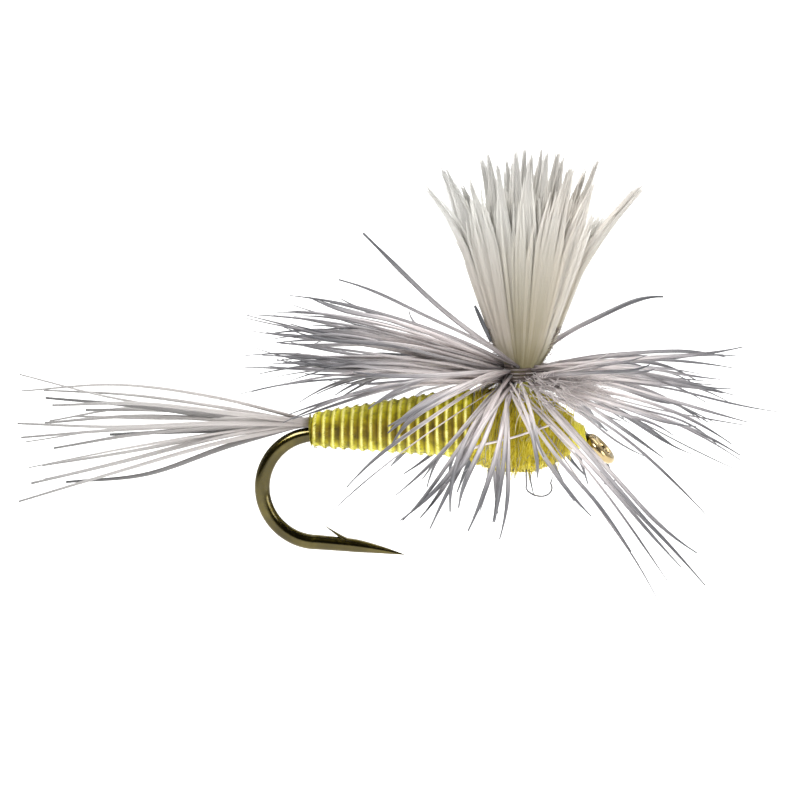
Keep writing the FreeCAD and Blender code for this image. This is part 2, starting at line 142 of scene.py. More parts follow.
def make_camera():
    data = bpy.data.cameras.new("camera")
    data.sensor_width = SENSOR
    data.lens = SENSOR * VIEW_DISTANCE / VIEW_WIDTH
    data.clip_start = 0.01
    data.clip_end = 20.0
    camera = add_to_scene("camera", data)
    camera.location = (VIEW_MIDDLE + BACK * VIEW_DISTANCE) * MM
    camera.rotation_euler = (-BACK).to_track_quat("-Z", "Y").to_euler()
    bpy.context.scene.camera = camera


def add_softbox(name, place, size, power):
    """A square area light at a place in mm, facing the fly."""
    data = bpy.data.lights.new(name, "AREA")
    data.shape = "SQUARE"
    data.size = size * MM
    data.energy = power
    light = add_to_scene(name, data)
    light.location = Vector(place) * MM
    aim = VIEW_MIDDLE * MM - light.location
    light.rotation_euler = aim.to_track_quat("-Z", "Y").to_euler()


def make_light():
    """A white room, darker behind the camera, and three large soft lights."""
    world = bpy.data.worlds.new("studio")
    bpy.context.scene.world = world
    world.use_nodes = True
    nodes = world.node_tree.nodes
    links = world.node_tree.links
    direction = nodes.new("ShaderNodeTexCoord")
    split = nodes.new("ShaderNodeSeparateXYZ")
    depth = nodes.new("ShaderNodeMapRange")
    for socket, value in (("From Min", -0.55), ("From Max", 0.3),
                          ("To Min", 0.06), ("To Max", 1.0)):
        depth.inputs[socket].default_value = value
    links.new(direction.outputs["Generated"], split.inputs["Vector"])
    links.new(split.outputs["Y"], depth.inputs["Value"])
    links.new(depth.outputs["Result"], nodes["Background"].inputs["Strength"])
    nodes["Background"].inputs["Color"].default_value = (1.0, 1.0, 1.0, 1)
    for name, (place, size, power) in SOFTBOXES.items():
        add_softbox(name, place, size, power)
    bpy.context.scene.view_settings.view_transform = "Standard"


def make_floor():
    height = cad_box[0].z / MM - FLOOR_DROP
    half = FLOOR_WIDTH / 2
    corners = [(-half, -half, height), (half, -half, height),
               (half, half, height), (-half, half, height)]
    mesh = bpy.data.meshes.new("floor")
    mesh.from_pydata([Vector(corner) * MM for corner in corners], [], [(0, 1, 2, 3)])
    floor = add_to_scene("floor", mesh)
    mesh.materials.append(floor_material())


# ---- strands

class Strands:
    """Many thin tubes gathered into one mesh."""

    def __init__(self):
        self.points = []
        self.faces = []
        self.along = []
        self.across = []
        self.tint = []

    def add(self, path, width, depth=None, sides=6, side=None, tint=0.5, along=None):
        """Skins one strand over a path.

        width and depth are lists with one value for each point of the path, side is
        the direction in which the strand is wide at its root."""
        depth = depth or width
        first = len(self.points)
        direction = (path[1] - path[0]).normalized()
        side = side or direction.orthogonal()
        last = len(path) - 1
        for k, place in enumerate(path):
            direction = (path[min(k + 1, last)] - path[max(k - 1, 0)]).normalized()
            side = (side - direction * side.dot(direction)).normalized()
            flat = direction.cross(side)
            share = along[k] if along else k / last
            for corner in range(sides):
                turned = 2 * math.pi * corner / sides
                offset = side * (math.cos(turned) * width[k] / 2)
                offset += flat * (math.sin(turned) * depth[k] / 2)
                self.points.append(place + offset)
                self.along.append(share)
                self.across.append(math.cos(turned))
                self.tint.append(tint)
        for k in range(last):
            low = first + k * sides
            for corner in range(sides):
                after = (corner + 1) % sides
                self.faces.append((low + corner, low + after,
                                   low + sides + after, low + sides + corner))
        self.faces.append(tuple(range(first + sides - 1, first - 1, -1)))
        end = first + last * sides
        self.faces.append(tuple(range(end, end + sides)))

    def extend_grid(self, rows, along, across, tints, closed_rows=False):
        """Adds a sheet: rows of points, each row the same length.

        along has a value for each row, across one for each point of a row, and tints one
        for each point of the sheet, or is one number."""
        first = len(self.points)
        count = len(rows[0])
        for row, share in zip(rows, along):
            self.points += row
            self.along += [share] * count
            self.across += across
        self.tint += tints if isinstance(tints, list) else [tints] * (len(rows) * count)
        columns = count if closed_rows else count - 1
        for k in range(len(rows) - 1):
            low = first + k * count
            for m in range(columns):
                after = (m + 1) % count
                self.faces.append((low + m, low + after, low + count + after, low + count + m))


def make_object(name, strands, material, smooth=True):
    mesh = bpy.data.meshes.new(name)
    mesh.from_pydata([place * MM for place in strands.points], [], strands.faces)
    for attribute, values in (("along", strands.along), ("across", strands.across),
                              ("tint", strands.tint)):
        layer = mesh.attributes.new(attribute, "FLOAT", "POINT")
        layer.data.foreach_set("value", values)
    mesh.polygons.foreach_set("use_smooth", [smooth] * len(mesh.polygons))
    mesh.materials.append(material)
    mesh.update()
    piece = add_to_scene(name, mesh)
    return piece


def tie_in(name, strands, material, node):
    """A piece that rides on the tied hook and stands for one CAD node."""
    piece = make_object(name, strands, material)
    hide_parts(node)
    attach(piece, "tied_hook")


class Spindle:
    """The axis of a round body part, and places round it: 0 degrees is to the far side and
    90 degrees is down."""

    def __init__(self, rear, front):
        self.rear = rear
        self.length = (front - rear).length
        self.axis = (front - rear).normalized()
        self.down = SIDEWAYS.cross(self.axis)

    def outward(self, turned):
        return self.down * sine(turned) + SIDEWAYS * cosine(turned)

    def at(self, run, turned, radius):
        return self.rear + self.axis * run + self.outward(turned) * radius

    def ring(self, run, radius):
        return [self.at(run, 10 * k, radius) for k in range(36)]


def smooth_path(points, count):
    """A Catmull-Rom curve through a few points, sampled evenly in its parameter."""
    ends = [points[0] * 2 - points[1]] + list(points) + [points[-1] * 2 - points[-2]]
    spans = len(points) - 1
    path = []
    for k in range(count):
        place = spans * k / (count - 1)
        span = min(int(place), spans - 1)
        t = place - span
        a, b, c, d = ends[span:span + 4]
        path.append(0.5 * ((2 * b) + (c - a) * t + (2 * a - 5 * b + 4 * c - d) * t * t
                           + (3 * b - a - 3 * c + d) * t * t * t))
    return path


# ---- material helpers

class Shader:
    """A principled material and short ways to feed it."""

    def __init__(self, name, roughness, specular=0.5):
        self.material = bpy.data.materials.new(name)
        self.material.use_nodes = True
        self.nodes = self.material.node_tree.nodes
        self.links = self.material.node_tree.links
        self.surface = self.nodes["Principled BSDF"]
        self.set("Roughness", roughness)
        self.set("Specular IOR Level", specular)

    def feed(self, socket, value):
        """Gives a socket a number, a colour or what another node works out."""
        if isinstance(value, (int, float)):
            socket.default_value = value
        elif isinstance(value, tuple):
            socket.default_value = (*value, 1)
        else:
            self.links.new(value, socket)

    def set(self, socket, value):
        self.feed(self.surface.inputs[socket], value)

    def value_of(self, attribute):
        node = self.nodes.new("ShaderNodeAttribute")
        node.attribute_name = attribute
        return node.outputs["Fac"]

    def ramp(self, value, *stops):
        """Colours along a value; each stop is a position and a colour or a grey."""
        node = self.nodes.new("ShaderNodeValToRGB")
        elements = node.color_ramp.elements
        while len(elements) < len(stops):
            elements.new(0.5)
        for element, (position, colour) in zip(elements, stops):
            element.position = position
            element.color = (*colour, 1) if isinstance(colour, tuple) else (*[colour] * 3, 1)
        self.links.new(value, node.inputs["Fac"])
        return node.outputs["Color"]

    def noise(self, scale, detail, vector=None):
        """Noise whose scale is in features per metre."""
        node = self.nodes.new("ShaderNodeTexNoise")
        node.inputs["Scale"].default_value = scale
        node.inputs["Detail"].default_value = detail
        place = vector or self.nodes.new("ShaderNodeTexCoord").outputs["Object"]
        self.links.new(place, node.inputs["Vector"])
        return node.outputs["Fac"]

    def strand_grain(self, along_scale, across_scale):
        """Noise that is drawn out along each strand and differs between strands."""
        joined = self.nodes.new("ShaderNodeCombineXYZ")
        for socket, attribute, scale in (("X", "along", along_scale),
                                         ("Y", "across", across_scale),
                                         ("Z", "tint", 40.0)):
            self.links.new(self.math("MULTIPLY", self.value_of(attribute), scale),
                           joined.inputs[socket])
        return self.noise(1.0, 2.0, joined.outputs["Vector"])

    def math(self, operation, a, b):
        node = self.nodes.new("ShaderNodeMath")
        node.operation = operation
        self.feed(node.inputs[0], a)
        self.feed(node.inputs[1], b)
        return node.outputs["Value"]

    def mix(self, share, a, b, blend="MIX"):
        node = self.nodes.new("ShaderNodeMix")
        node.data_type = "RGBA"
        node.blend_type = blend
        node.clamp_factor = True
        for socket, value in ((0, share), (6, a), (7, b)):
            self.feed(node.inputs[socket], value)
        return node.outputs[2]

    def multiply(self, a, b):
        return self.mix(1.0, a, b, "MULTIPLY")

    def bump(self, height, strength, distance):
        """Fine relief; the distance is in mm."""
        node = self.nodes.new("ShaderNodeBump")
        node.inputs["Strength"].default_value = strength
        node.inputs["Distance"].default_value = distance * MM
        self.links.new(height, node.inputs["Height"])
        self.set("Normal", node.outputs["Normal"])

    def mix_in(self, share, other):
        """Mixes a share of another shader into what the surface shows so far."""
        both = self.nodes.new("ShaderNodeMixShader")
        output = self.nodes["Material Output"].inputs["Surface"]
        so_far = output.links[0].from_socket
        self.feed(both.inputs["Fac"], share)
        self.links.new(so_far, both.inputs[1])
        self.links.new(other.outputs["BSDF"], both.inputs[2])
        self.links.new(both.outputs["Shader"], output)

    def let_light_through(self, share, colour):
        """Mixes in light that comes through a thin fibre from behind."""
        through = self.nodes.new("ShaderNodeBsdfTranslucent")
        self.feed(through.inputs["Color"], colour)
        self.mix_in(share, through)

    def thin_out(self, share):
        """Lets part of the view through, as a loose veil of fibres does."""
        self.mix_in(share, self.nodes.new("ShaderNodeBsdfTransparent"))


# ---- materials

def floor_material():
    shader = Shader("pale_floor", 0.9, 0.1)
    shader.set("Base Color", shader.ramp(shader.noise(30.0, 2.0), (0.3, 0.95), (0.7, 0.97)))
    return shader.material


def bronzed_wire_material():
    """Brown bronzed steel under a clear lacquer, warmer in patches, and lighter and warmer where
    tinted, which is the eye ring.
    """
    shader = Shader("bronzed_wire", 0.18)
    shader.set("Metallic", 1.0)
    tone = shader.ramp(shader.noise(900.0, 4.0), (0.3, (0.03, 0.024, 0.003)),
                       (0.55, (0.052, 0.043, 0.007)), (0.75, (0.095, 0.08, 0.02)))
    # The eye ring is tinted high, so its metal gets a lighter, warmer colour.
    eye_ring_lighter = shader.ramp(shader.value_of("tint"), (0.55, 0.0), (1.0, 1.0))
    shader.set("Base Color", shader.mix(eye_ring_lighter, tone, (0.46, 0.37, 0.22)))
    drawn = shader.strand_grain(60.0, 8.0)
    shader.set("Roughness", shader.ramp(drawn, (0.3, 0.13), (0.7, 0.24)))
    shader.bump(drawn, 0.1, 0.01)
    shader.set("Coat Weight", 0.5)
    shader.set("Coat Roughness", 0.05)
    shader.set("Coat Tint", (1.0, 0.88, 0.55))
    return shader.material


def hackle_material():
    """Dun feather barb: pale taupe near the quill, slate towards the tip, with darker edges that
    are partly its barbules and partly painted shade.
    """
    shader = Shader("hackle_barb", 0.45, 0.4)
    along = shader.value_of("along")
    pale = shader.ramp(along, (0.0, (0.15, 0.118, 0.112)), (0.05, (0.36, 0.305, 0.295)),
                       (0.16, (0.67, 0.61, 0.59)), (0.5, (0.75, 0.705, 0.695)),
                       (0.68, (0.43, 0.41, 0.42)), (0.9, (0.125, 0.125, 0.135)))
    dark = shader.ramp(along, (0.0, (0.06, 0.05, 0.05)), (0.08, (0.26, 0.23, 0.228)),
                       (0.3, (0.37, 0.35, 0.355)), (0.55, (0.165, 0.165, 0.175)),
                       (0.95, (0.06, 0.065, 0.073)))
    body = shader.mix(shader.ramp(shader.value_of("tint"), (0.62, 0.0), (0.92, 1.0)), pale, dark)
    # Painted shade, partly real: both edges of each barb are darkened, standing for the barbules
    # and for the shade at the sides of a round, see-through fibre.
    edge = shader.math("POWER", shader.math("ABSOLUTE", shader.value_of("across"), 0), 4.0)
    shaded = shader.mix(shader.math("MULTIPLY", edge, 0.5), body, (0.16, 0.15, 0.155))
    grain = shader.strand_grain(7.0, 3.2)
    final = shader.multiply(shaded, shader.ramp(grain, (0.34, (0.6, 0.58, 0.59)),
                                                (0.54, (1.05, 1.04, 1.04))))
    shader.set("Base Color", final)
    shader.bump(grain, 0.35, 0.02)
    shader.set("Sheen Weight", 0.25)
    shader.set("Sheen Roughness", 0.4)
    shader.let_light_through(0.25, final)
    return shader.material


def tail_material():
    shader = Shader("tail_fibre", 0.4, 0.45)
    along = shader.value_of("along")
    pale = shader.ramp(along, (0.0, (0.27, 0.24, 0.225)), (0.25, (0.43, 0.4, 0.385)),
                       (0.7, (0.36, 0.345, 0.335)), (1.0, (0.19, 0.185, 0.18)))
    dark = shader.ramp(along, (0.0, (0.13, 0.115, 0.108)), (0.5, (0.15, 0.145, 0.142)),
                       (1.0, 0.07))
    final = shader.mix(shader.ramp(shader.value_of("tint"), (0.45, 0.0), (0.85, 1.0)), pale, dark)
    shader.set("Base Color", final)
    shader.bump(shader.strand_grain(40.0, 4.0), 0.3, 0.02)
    shader.let_light_through(0.15, final)
    return shader.material


def wing_material():
    """White feather fibre, with painted shade and light: darker olive cream low in the bundle's
    middle and whitest at its forward edge.

    The tint runs from 0 at the wing's rear edge to 1 at its forward edge."""
    shader = Shader("wing_fibre", 0.55, 0.3)
    along = shader.value_of("along")
    tint = shader.value_of("tint")
    # Painted shade and painted light: by the tint, the low middle of the bundle is darker and
    # olive, and the forward edge is whitest, both low and high.
    low = shader.ramp(tint, (0.0, (0.64, 0.59, 0.53)), (0.25, (0.61, 0.56, 0.49)),
                      (0.45, (0.47, 0.425, 0.31)), (0.62, (0.54, 0.49, 0.365)),
                      (0.78, (0.68, 0.63, 0.52)), (0.88, (0.85, 0.83, 0.78)),
                      (1.0, (0.9, 0.89, 0.87)))
    high = shader.ramp(tint, (0.0, (0.74, 0.735, 0.715)), (0.5, (0.76, 0.748, 0.715)),
                       (0.8, (0.74, 0.71, 0.665)), (1.0, (0.92, 0.92, 0.905)))
    body = shader.mix(shader.ramp(along, (0.18, 0.0), (0.72, 1.0)), low, high)
    ends = shader.ramp(along, (0.0, (0.74, 0.71, 0.54)), (0.15, 1.0), (0.8, 1.0),
                       (1.0, (0.86, 0.86, 0.87)))
    grain = shader.strand_grain(9.0, 6.0)
    lively = shader.ramp(grain, (0.3, (0.93, 0.925, 0.915)), (0.6, 1.0))
    final = shader.multiply(shader.multiply(body, ends), lively)
    down = shader.math("GREATER_THAN", along, 1.2)
    final = shader.mix(down, final, (0.36, 0.32, 0.29))
    shader.set("Base Color", final)
    shader.bump(grain, 0.2, 0.02)
    shader.set("Sheen Weight", 0.2)
    shader.let_light_through(0.55, final)
    shader.thin_out(shader.ramp(along, (0.55, 0.25), (1.0, 0.35)))
    return shader.material


def biot_material():
    """Yellow feather strand: a pale raised edge, lightened further as a painted highlight on its
    crown, and between turns an olive web, with painted shade in the creases between turns.

    The web is painted brownest on the sides of the body and yellowest above and below,
    where the tint is high: painted shade and painted light."""
    shader = Shader("body_biot", 0.48, 0.15)
    across = shader.value_of("across")
    grain = shader.strand_grain(900.0, 14.0)
    wobble = shader.math("MULTIPLY", shader.math("SUBTRACT", grain, 0.5), 0.18)
    # The crown of each ridge: the biot's own paler edge, with a painted highlight on it.
    raised = shader.ramp(shader.math("ADD", across, wobble),
                         (0.17, 0.0), (0.33, 1.0), (0.42, 1.0), (0.58, 0.0))
    # Painted shade and painted light: the web is brown where the tint is low, on the body's sides,
    # and yellow where it is high, above and below.
    web = shader.ramp(shader.value_of("tint"), (0.2, (0.175, 0.128, 0.001)),
                      (0.55, (0.3, 0.255, 0.002)), (0.95, (0.52, 0.485, 0.012)))
    # Painted shade: each turn darkens towards the creases between turns.
    painted_crease_shade = shader.ramp(across, (0.0, (0.4, 0.36, 0.3)), (0.16, 1.0),
                         (0.62, (1.05, 1.05, 1.0)), (1.0, (0.42, 0.38, 0.32)))
    mottle = shader.noise(2600.0, 3.0)
    cream = shader.ramp(mottle, (0.32, (0.5, 0.45, 0.05)), (0.62, (0.68, 0.63, 0.22)))
    patches = shader.ramp(mottle, (0.36, (0.5, 0.5, 0.35)), (0.58, (1.1, 1.08, 1.0)))
    web = shader.multiply(shader.multiply(web, painted_crease_shade), patches)
    shader.set("Base Color", shader.mix(raised, web, cream))
    shader.bump(grain, 0.5, 0.03)
    shader.set("Sheen Weight", 0.05)
    shader.set("Sheen Tint", (1.0, 0.95, 0.4))
    return shader.material


def dubbing_material():
    """Golden yellow fur; the tint picks each hair's shade."""
    shader = Shader("thorax_dubbing", 0.55, 0.2)
    hair = shader.ramp(shader.value_of("tint"),
                       (0.0, (0.36, 0.27, 0.006)), (0.18, (0.68, 0.54, 0.018)),
                       (0.45, (0.86, 0.74, 0.05)), (0.75, (0.93, 0.85, 0.16)),
                       (0.93, (0.94, 0.89, 0.48)), (1.0, (0.42, 0.41, 0.36)))
    patches = shader.ramp(shader.noise(800.0, 3.0), (0.36, (0.78, 0.74, 0.52)), (0.56, 1.0))
    final = shader.multiply(hair, patches)
    grain = shader.strand_grain(20.0, 3.0)
    lively = shader.ramp(grain, (0.3, (0.8, 0.74, 0.5)), (0.6, 1.0))
    shader.set("Base Color", shader.multiply(final, lively))
    shader.bump(grain, 0.3, 0.02)
    shader.let_light_through(0.15, final)
    return shader.material


def grained_material(name, roughness, specular, scales, dark, light, relief):
    """A strand coloured from dark to light by its own grain, with the grain in relief."""
    shader = Shader(name, roughness, specular)
    grain = shader.strand_grain(*scales)
    shader.set("Base Color", shader.ramp(grain, dark, light))
    shader.bump(grain, *relief)
    return shader


def thread_material(name, dark, light):
    """Fine twisted thread: light on the crown of each turn, dark between turns."""
    shader = grained_material(name, 0.38, 0.5, (2400.0, 6.0), (0.32, dark), (0.68, light),
                              (0.5, 0.015))
    shader.set("Coat Weight", 0.25)
    shader.set("Coat Roughness", 0.2)
    return shader.material


def quill_material():
    return grained_material("hackle_stem", 0.35, 0.5, (300.0, 4.0), (0.3, (0.045, 0.034, 0.03)),
                            (0.7, (0.13, 0.1, 0.085)), (0.3, 0.01)).material


def floss_material():
    shader = Shader("body_floss", 0.55, 0.3)
    weave = shader.noise(3000.0, 4.0)
    shader.set("Base Color", shader.ramp(weave, (0.3, (0.34, 0.31, 0.02)),
                                         (0.7, (0.62, 0.57, 0.07))))
    shader.bump(weave, 0.4, 0.02)
    return shader.material


# ---- hook

EYE_RING_RADIUS = 0.55
EYE_WIRE_RADIUS = 0.2
EYE_DROP = 47.0
WIRE_RADIUS = 0.25
BEND_START_X = -11.4
BEND_RADIUS = 2.2
POINT_SLOPE = 4.0
POINT_RUN = 3.7
SPEAR_LENGTH = 2.3
SHANK_START_X = -0.44
SHANK_Z = EYE_RING_RADIUS * sine(EYE_DROP)
POINT_ALONG = Vector((cosine(POINT_SLOPE), 0, -sine(POINT_SLOPE)))
POINT_UP = Vector((sine(POINT_SLOPE), 0, cosine(POINT_SLOPE)))


def hook_path():
    """Middle of the wire from just behind the eye, round the bend, to the point.

    Returns the points and the wire's radius at each."""
    points = []
    radii = []
    for k in range(30):
        points.append(Vector((lerp(SHANK_START_X, BEND_START_X, k / 30), 0, SHANK_Z)))
        radii.append(lerp(EYE_WIRE_RADIUS, WIRE_RADIUS, min(1.0, k / 3)))
    for share in shares(64):
        turned = lerp(90, 270 - POINT_SLOPE, share)
        points.append(Vector((BEND_START_X + BEND_RADIUS * cosine(turned), 0,
                              SHANK_Z - BEND_RADIUS + BEND_RADIUS * sine(turned))))
        radii.append(WIRE_RADIUS)
    bend_end = points[-1]
    straight = POINT_RUN - SPEAR_LENGTH
    for share in shares(36)[1:]:
        run = POINT_RUN * share
        narrowed = max(0.0, (run - straight) / SPEAR_LENGTH)
        radius = WIRE_RADIUS * (1 - narrowed ** 1.5) + 0.012
        points.append(bend_end + POINT_ALONG * run - POINT_UP * (WIRE_RADIUS - radius) * 0.8)
        radii.append(min(radius, WIRE_RADIUS))
    return points, radii


def add_wire(strands, points, radii):
    """The wire is round at the shank and forged, so taller than wide, through the bend."""
    width = []
    depth = []
    for place, radius in zip(points, radii):
        forged = clamp((BEND_START_X + 0.6 - place.x) / 1.2)
        if place.z < SHANK_Z - BEND_RADIUS:
            forged = clamp((BEND_START_X + 2.4 - place.x) / 2.4)
        width.append(2 * radius * (1 - 0.06 * forged))
        depth.append(2 * radius * (1.04 + 0.2 * forged))
    strands.add(points, width, depth, sides=24, side=SIDEWAYS)


def add_eye(strands):
    """The wire curls once round the eye and closes against itself."""
    drop = Vector((cosine(EYE_DROP), 0, -sine(EYE_DROP)))
    points = []
    width = []
    for share in shares(72):
        turned = 356 * share - 2
        points.append((-drop * cosine(turned) + SIDEWAYS * sine(turned)) * EYE_RING_RADIUS)
        width.append(2 * lerp(EYE_WIRE_RADIUS, EYE_WIRE_RADIUS * 0.92, share))
    strands.add(points, width, sides=24, side=drop.cross(SIDEWAYS), tint=0.9)


def add_point_barb(strands, point):
    """The hook's barb: a thin sliver raised from the top of the wire, curved like a thorn."""
    root = point - POINT_ALONG * (SPEAR_LENGTH - 0.6) + POINT_UP * 0.16
    tip = point - POINT_ALONG * (SPEAR_LENGTH + 0.95) + POINT_UP * 0.88
    knee = lerp(root, tip, 0.5) - POINT_UP * 0.07
    width = [0.34 * (1 - t ** 2.2) + 0.03 for t in shares(13)]
    depth = [0.3 * (1 - t ** 0.8) + 0.03 for t in shares(13)]
    strands.add(smooth_path([root, knee, tip], 14), width, depth, sides=16, side=SIDEWAYS)


def build_hook():
    strands = Strands()
    points, radii = hook_path()
    add_wire(strands, points, radii)
    add_eye(strands)
    add_point_barb(strands, points[-1])
    tie_in("hook_wire", strands, bronzed_wire_material(), "hook")


# ---- tail

# The tail fibres: share of the full reach, rise over the root at one third, at two thirds
# and at the tip, sideways place of the tip, width and tint.
TAIL_FIBRES = [
    (0.975, 0.93, 1.43, 1.2, -1.1, 0.13, 0.3), (1.0, 0.2, 0.66, 1.53, 0.6, 0.15, 0.2),
    (0.92, 0.55, 0.9, 0.93, 1.3, 0.17, 0.1), (0.9, 0.2, 0.63, 0.93, -0.5, 0.17, 0.8),
    (0.91, 0.1, 0.33, -0.42, 1.9, 0.15, 0.4), (0.975, 0.05, -0.03, 0.2, -2.0, 0.15, 0.3),
    (0.915, -0.04, -0.05, -0.46, 1.0, 0.17, 0.2), (0.975, -0.1, -0.28, -0.55, -1.3, 0.15, 0.5),
    (0.975, -0.15, -0.35, -1.0, 0.3, 0.16, 0.3), (0.69, -0.28, -0.49, -0.73, 0.9, 0.2, 1.0),
    (0.91, -0.64, -1.35, -1.93, -0.8, 0.15, 0.2), (0.95, -0.6, -1.37, -2.29, 1.5, 0.15, 0.3),
    (0.95, -0.75, -1.77, -2.72, -0.2, 0.19, 0.1), (0.915, -0.71, -1.7, -2.6, 0.5, 0.17, 0.4),
    (0.98, -0.85, -1.95, -3.09, -1.5, 0.15, 0.5), (0.84, -1.07, -2.31, -2.75, 0.7, 0.19, 1.0),
    (0.86, 0.4, 0.8, 0.8, -1.6, 0.16, 0.2), (0.83, 0.0, -0.2, -0.35, 2.2, 0.17, 0.1),
    (0.87, -0.25, -0.55, -1.15, -0.4, 0.16, 0.6), (0.77, 0.3, 0.42, 0.35, 0.2, 0.18, 0.3),
    (0.94, -0.55, -1.1, -1.75, -2.2, 0.14, 0.4),
]


def build_tail():
    """Fine dun fibres that leave the body in one flat bundle and fan out in soft arcs."""
    butts_low, butts_high = box_mm("tail_butts")
    root_x = butts_low.x + 0.12
    root_z = (butts_low.z + butts_high.z) / 2 + 0.06
    reach = root_x - box_mm("tail_fibres")[0].x
    chance = random.Random(5)
    strands = Strands()
    for share, first_rise, second_rise, tip_rise, aside, wide, tint in TAIL_FIBRES:
        length = reach * share
        root = Vector((root_x, chance.uniform(-0.26, 0.26), root_z + chance.uniform(-0.1, 0.1)))
        path = smooth_path([root,
                            root + Vector((-length / 3, 0.2 * aside, first_rise)),
                            root + Vector((-length * 2 / 3, 0.55 * aside, second_rise)),
                            root + Vector((-length, aside, tip_rise))], 30)
        width = [1.35 * wide * (1 - 0.6 * t ** 1.7) for t in shares(29)]
        side = Vector((0, 0, 1))
        side.rotate(Quaternion(FORWARD, math.radians(chance.gauss(0, 35))))
        strands.add(path, width, [w * 0.6 for w in width], sides=6, side=side, tint=tint)
    piece = make_object("tail_hairs", strands, tail_material())
    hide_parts("tail_fibres")
    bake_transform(piece)


# ---- abdomen

ABDOMEN_REAR_Z = 0.58
ABDOMEN_FRONT_Z = 0.98
ABDOMEN_REAR_RADIUS = 0.705
ABDOMEN_FRONT_RADIUS = 1.46
BIOT_PITCH = 0.385
RIDGE_PLACE = 0.39          # share of the pitch at which the ridge is highest
RIDGE_HEIGHT = 0.06
RIDGE_HALF_WIDTH = 0.23     # as a share of the pitch too
STEPS_PER_TURN = 56
FRINGE_HAIRS = 2400


def build_abdomen():
    """One feather strand in close turns; each turn is a rounded ridge."""
    low, high = box_mm("abdomen_biot")
    body = Spindle(Vector((low.x, 0, ABDOMEN_REAR_Z)), Vector((high.x, 0, ABDOMEN_FRONT_Z)))
    turns = body.length / BIOT_PITCH - 0.6
    count = int(turns * STEPS_PER_TURN)
    rows = []
    tints = []
    for k in range(count + 1):
        turned = 360 * k / STEPS_PER_TURN + 90
        row = []
        for s in shares(14):
            run = BIOT_PITCH * (k / STEPS_PER_TURN + s)
            radius = lerp(ABDOMEN_REAR_RADIUS, ABDOMEN_FRONT_RADIUS, run / body.length)
            radius -= 0.13 * math.exp(-run / 0.16)
            ridge = RIDGE_HEIGHT * math.exp(-((s - RIDGE_PLACE) / RIDGE_HALF_WIDTH) ** 2)
            lap = 0.022 * (abs(s - RIDGE_PLACE) / 0.6) ** 3
            swell = 0.014 * noise.noise(Vector((k * 0.045, turned * 0.004, 3.0)))
            lift = ridge - RIDGE_HEIGHT - lap + swell
            row.append(body.at(run + 0.25 * swell, turned, radius + lift))
        rows.append(row)
        # The tint is how far each point faces up or down. The biot material paints the web lighter
        # there and darker on the sides: painted light and shade.
        tints += [abs(body.outward(turned).z)] * len(row)
    strands = Strands()
    strands.extend_grid(rows, shares(count), shares(14), tints)
    close_body_end(strands, body, 0.0, ABDOMEN_REAR_RADIUS)
    close_body_end(strands, body, body.length - 0.3, ABDOMEN_FRONT_RADIUS - 0.05)
    add_biot_fringe(strands, body, turns)
    tie_in("abdomen_strand", strands, biot_material(), "abdomen_biot")


def close_body_end(strands, body, run, radius):
    """A shallow dished end of turned-in strand, so that the body isn't open."""
    rows = [body.ring(run + 0.1 - 0.06 * math.cos(share * 3), radius * (1 - share * 0.75) - 0.03)
            for share in shares(5)]
    strands.extend_grid(rows, [0.0] * 6, [0.2] * 36, 0.5, closed_rows=True)


def add_biot_fringe(strands, body, turns):
    """The soft edge of the feather: short fine hairs along the crown of each ridge."""
    chance = random.Random(31)
    for _ in range(FRINGE_HAIRS):
        turn = chance.random() * turns
        turned = 360 * turn + 90
        run = BIOT_PITCH * (turn + chance.uniform(0.25, 0.6))
        radius = lerp(ABDOMEN_REAR_RADIUS, ABDOMEN_FRONT_RADIUS, run / body.length)
        start = body.at(run, turned, radius - 0.02)
        around = body.outward(turned + 90)
        lean = body.axis * chance.uniform(-0.05, 0.16) + around * chance.uniform(-0.05, 0.05)
        lift = body.outward(turned) * chance.uniform(0.01, 0.05)
        path = [start, start + lean * 0.5 + lift, start + lean + lift * 1.1]
        strands.add(path, [0.014, 0.012, 0.004], sides=3, tint=chance.random(),
                    along=[0.3, 0.4, 0.5])


# ---- thorax

THORAX = Spindle(Vector((-4.96, 0, 0.8)), Vector((-1.18, 0, 0.56)))
FUR_ROPE_PITCH = 0.42
REAR_FUR_FIBRES = 2500
FRONT_FUR_FIBRES = 3000
STRAY_SHARE = 0.12

# The same spindle as the CAD dubbing: distance from its rear end, and radius there.
THORAX_STATIONS = [(0.0, 1.44), (0.7, 1.6), (1.5, 1.68), (2.3, 1.6), (3.0, 1.3), (3.78, 0.78)]


def thorax_radius(run):
    run = clamp(run, 0.0, THORAX_STATIONS[-1][0])
    for (a, low), (b, high) in zip(THORAX_STATIONS, THORAX_STATIONS[1:]):
        if run <= b:
            share = (run - a) / (b - a)
            return lerp(low, high, share * share * (3 - 2 * share) * 0.35 + share * 0.65)


def add_dubbing(strands, low_run, high_run, seed, fibre_count):
    """Wound fur: a lumpy rope-like core under many short fibres."""
    rows = []
    for share in shares(40):
        run = lerp(low_run, high_run, share)
        row = []
        for turned in range(0, 360, 5):
            outward = THORAX.outward(turned)
            bulge = 0.035 * math.cos(2 * math.pi * (run / FUR_ROPE_PITCH - turned / 360))
            lump = 0.09 * noise.noise(Vector((run * 1.7, outward.y * 2.2, outward.z * 2.2 + seed)))
            row.append(THORAX.at(run, turned, thorax_radius(run) - 0.1 + bulge + lump))
        rows.append(row)
    strands.extend_grid(rows, [0.5] * 41, [0.5] * 72, 0.22, closed_rows=True)
    for run in (low_run, high_run):
        cap = [THORAX.ring(run, (thorax_radius(run) - 0.12) * part) for part in (1.0, 0.62, 0.28)]
        strands.extend_grid(cap, [0.5] * 3, [0.5] * 36, 0.2, closed_rows=True)
    chance = random.Random(seed)
    for _ in range(fibre_count):
        add_fur_fibre(strands, chance, low_run, high_run)


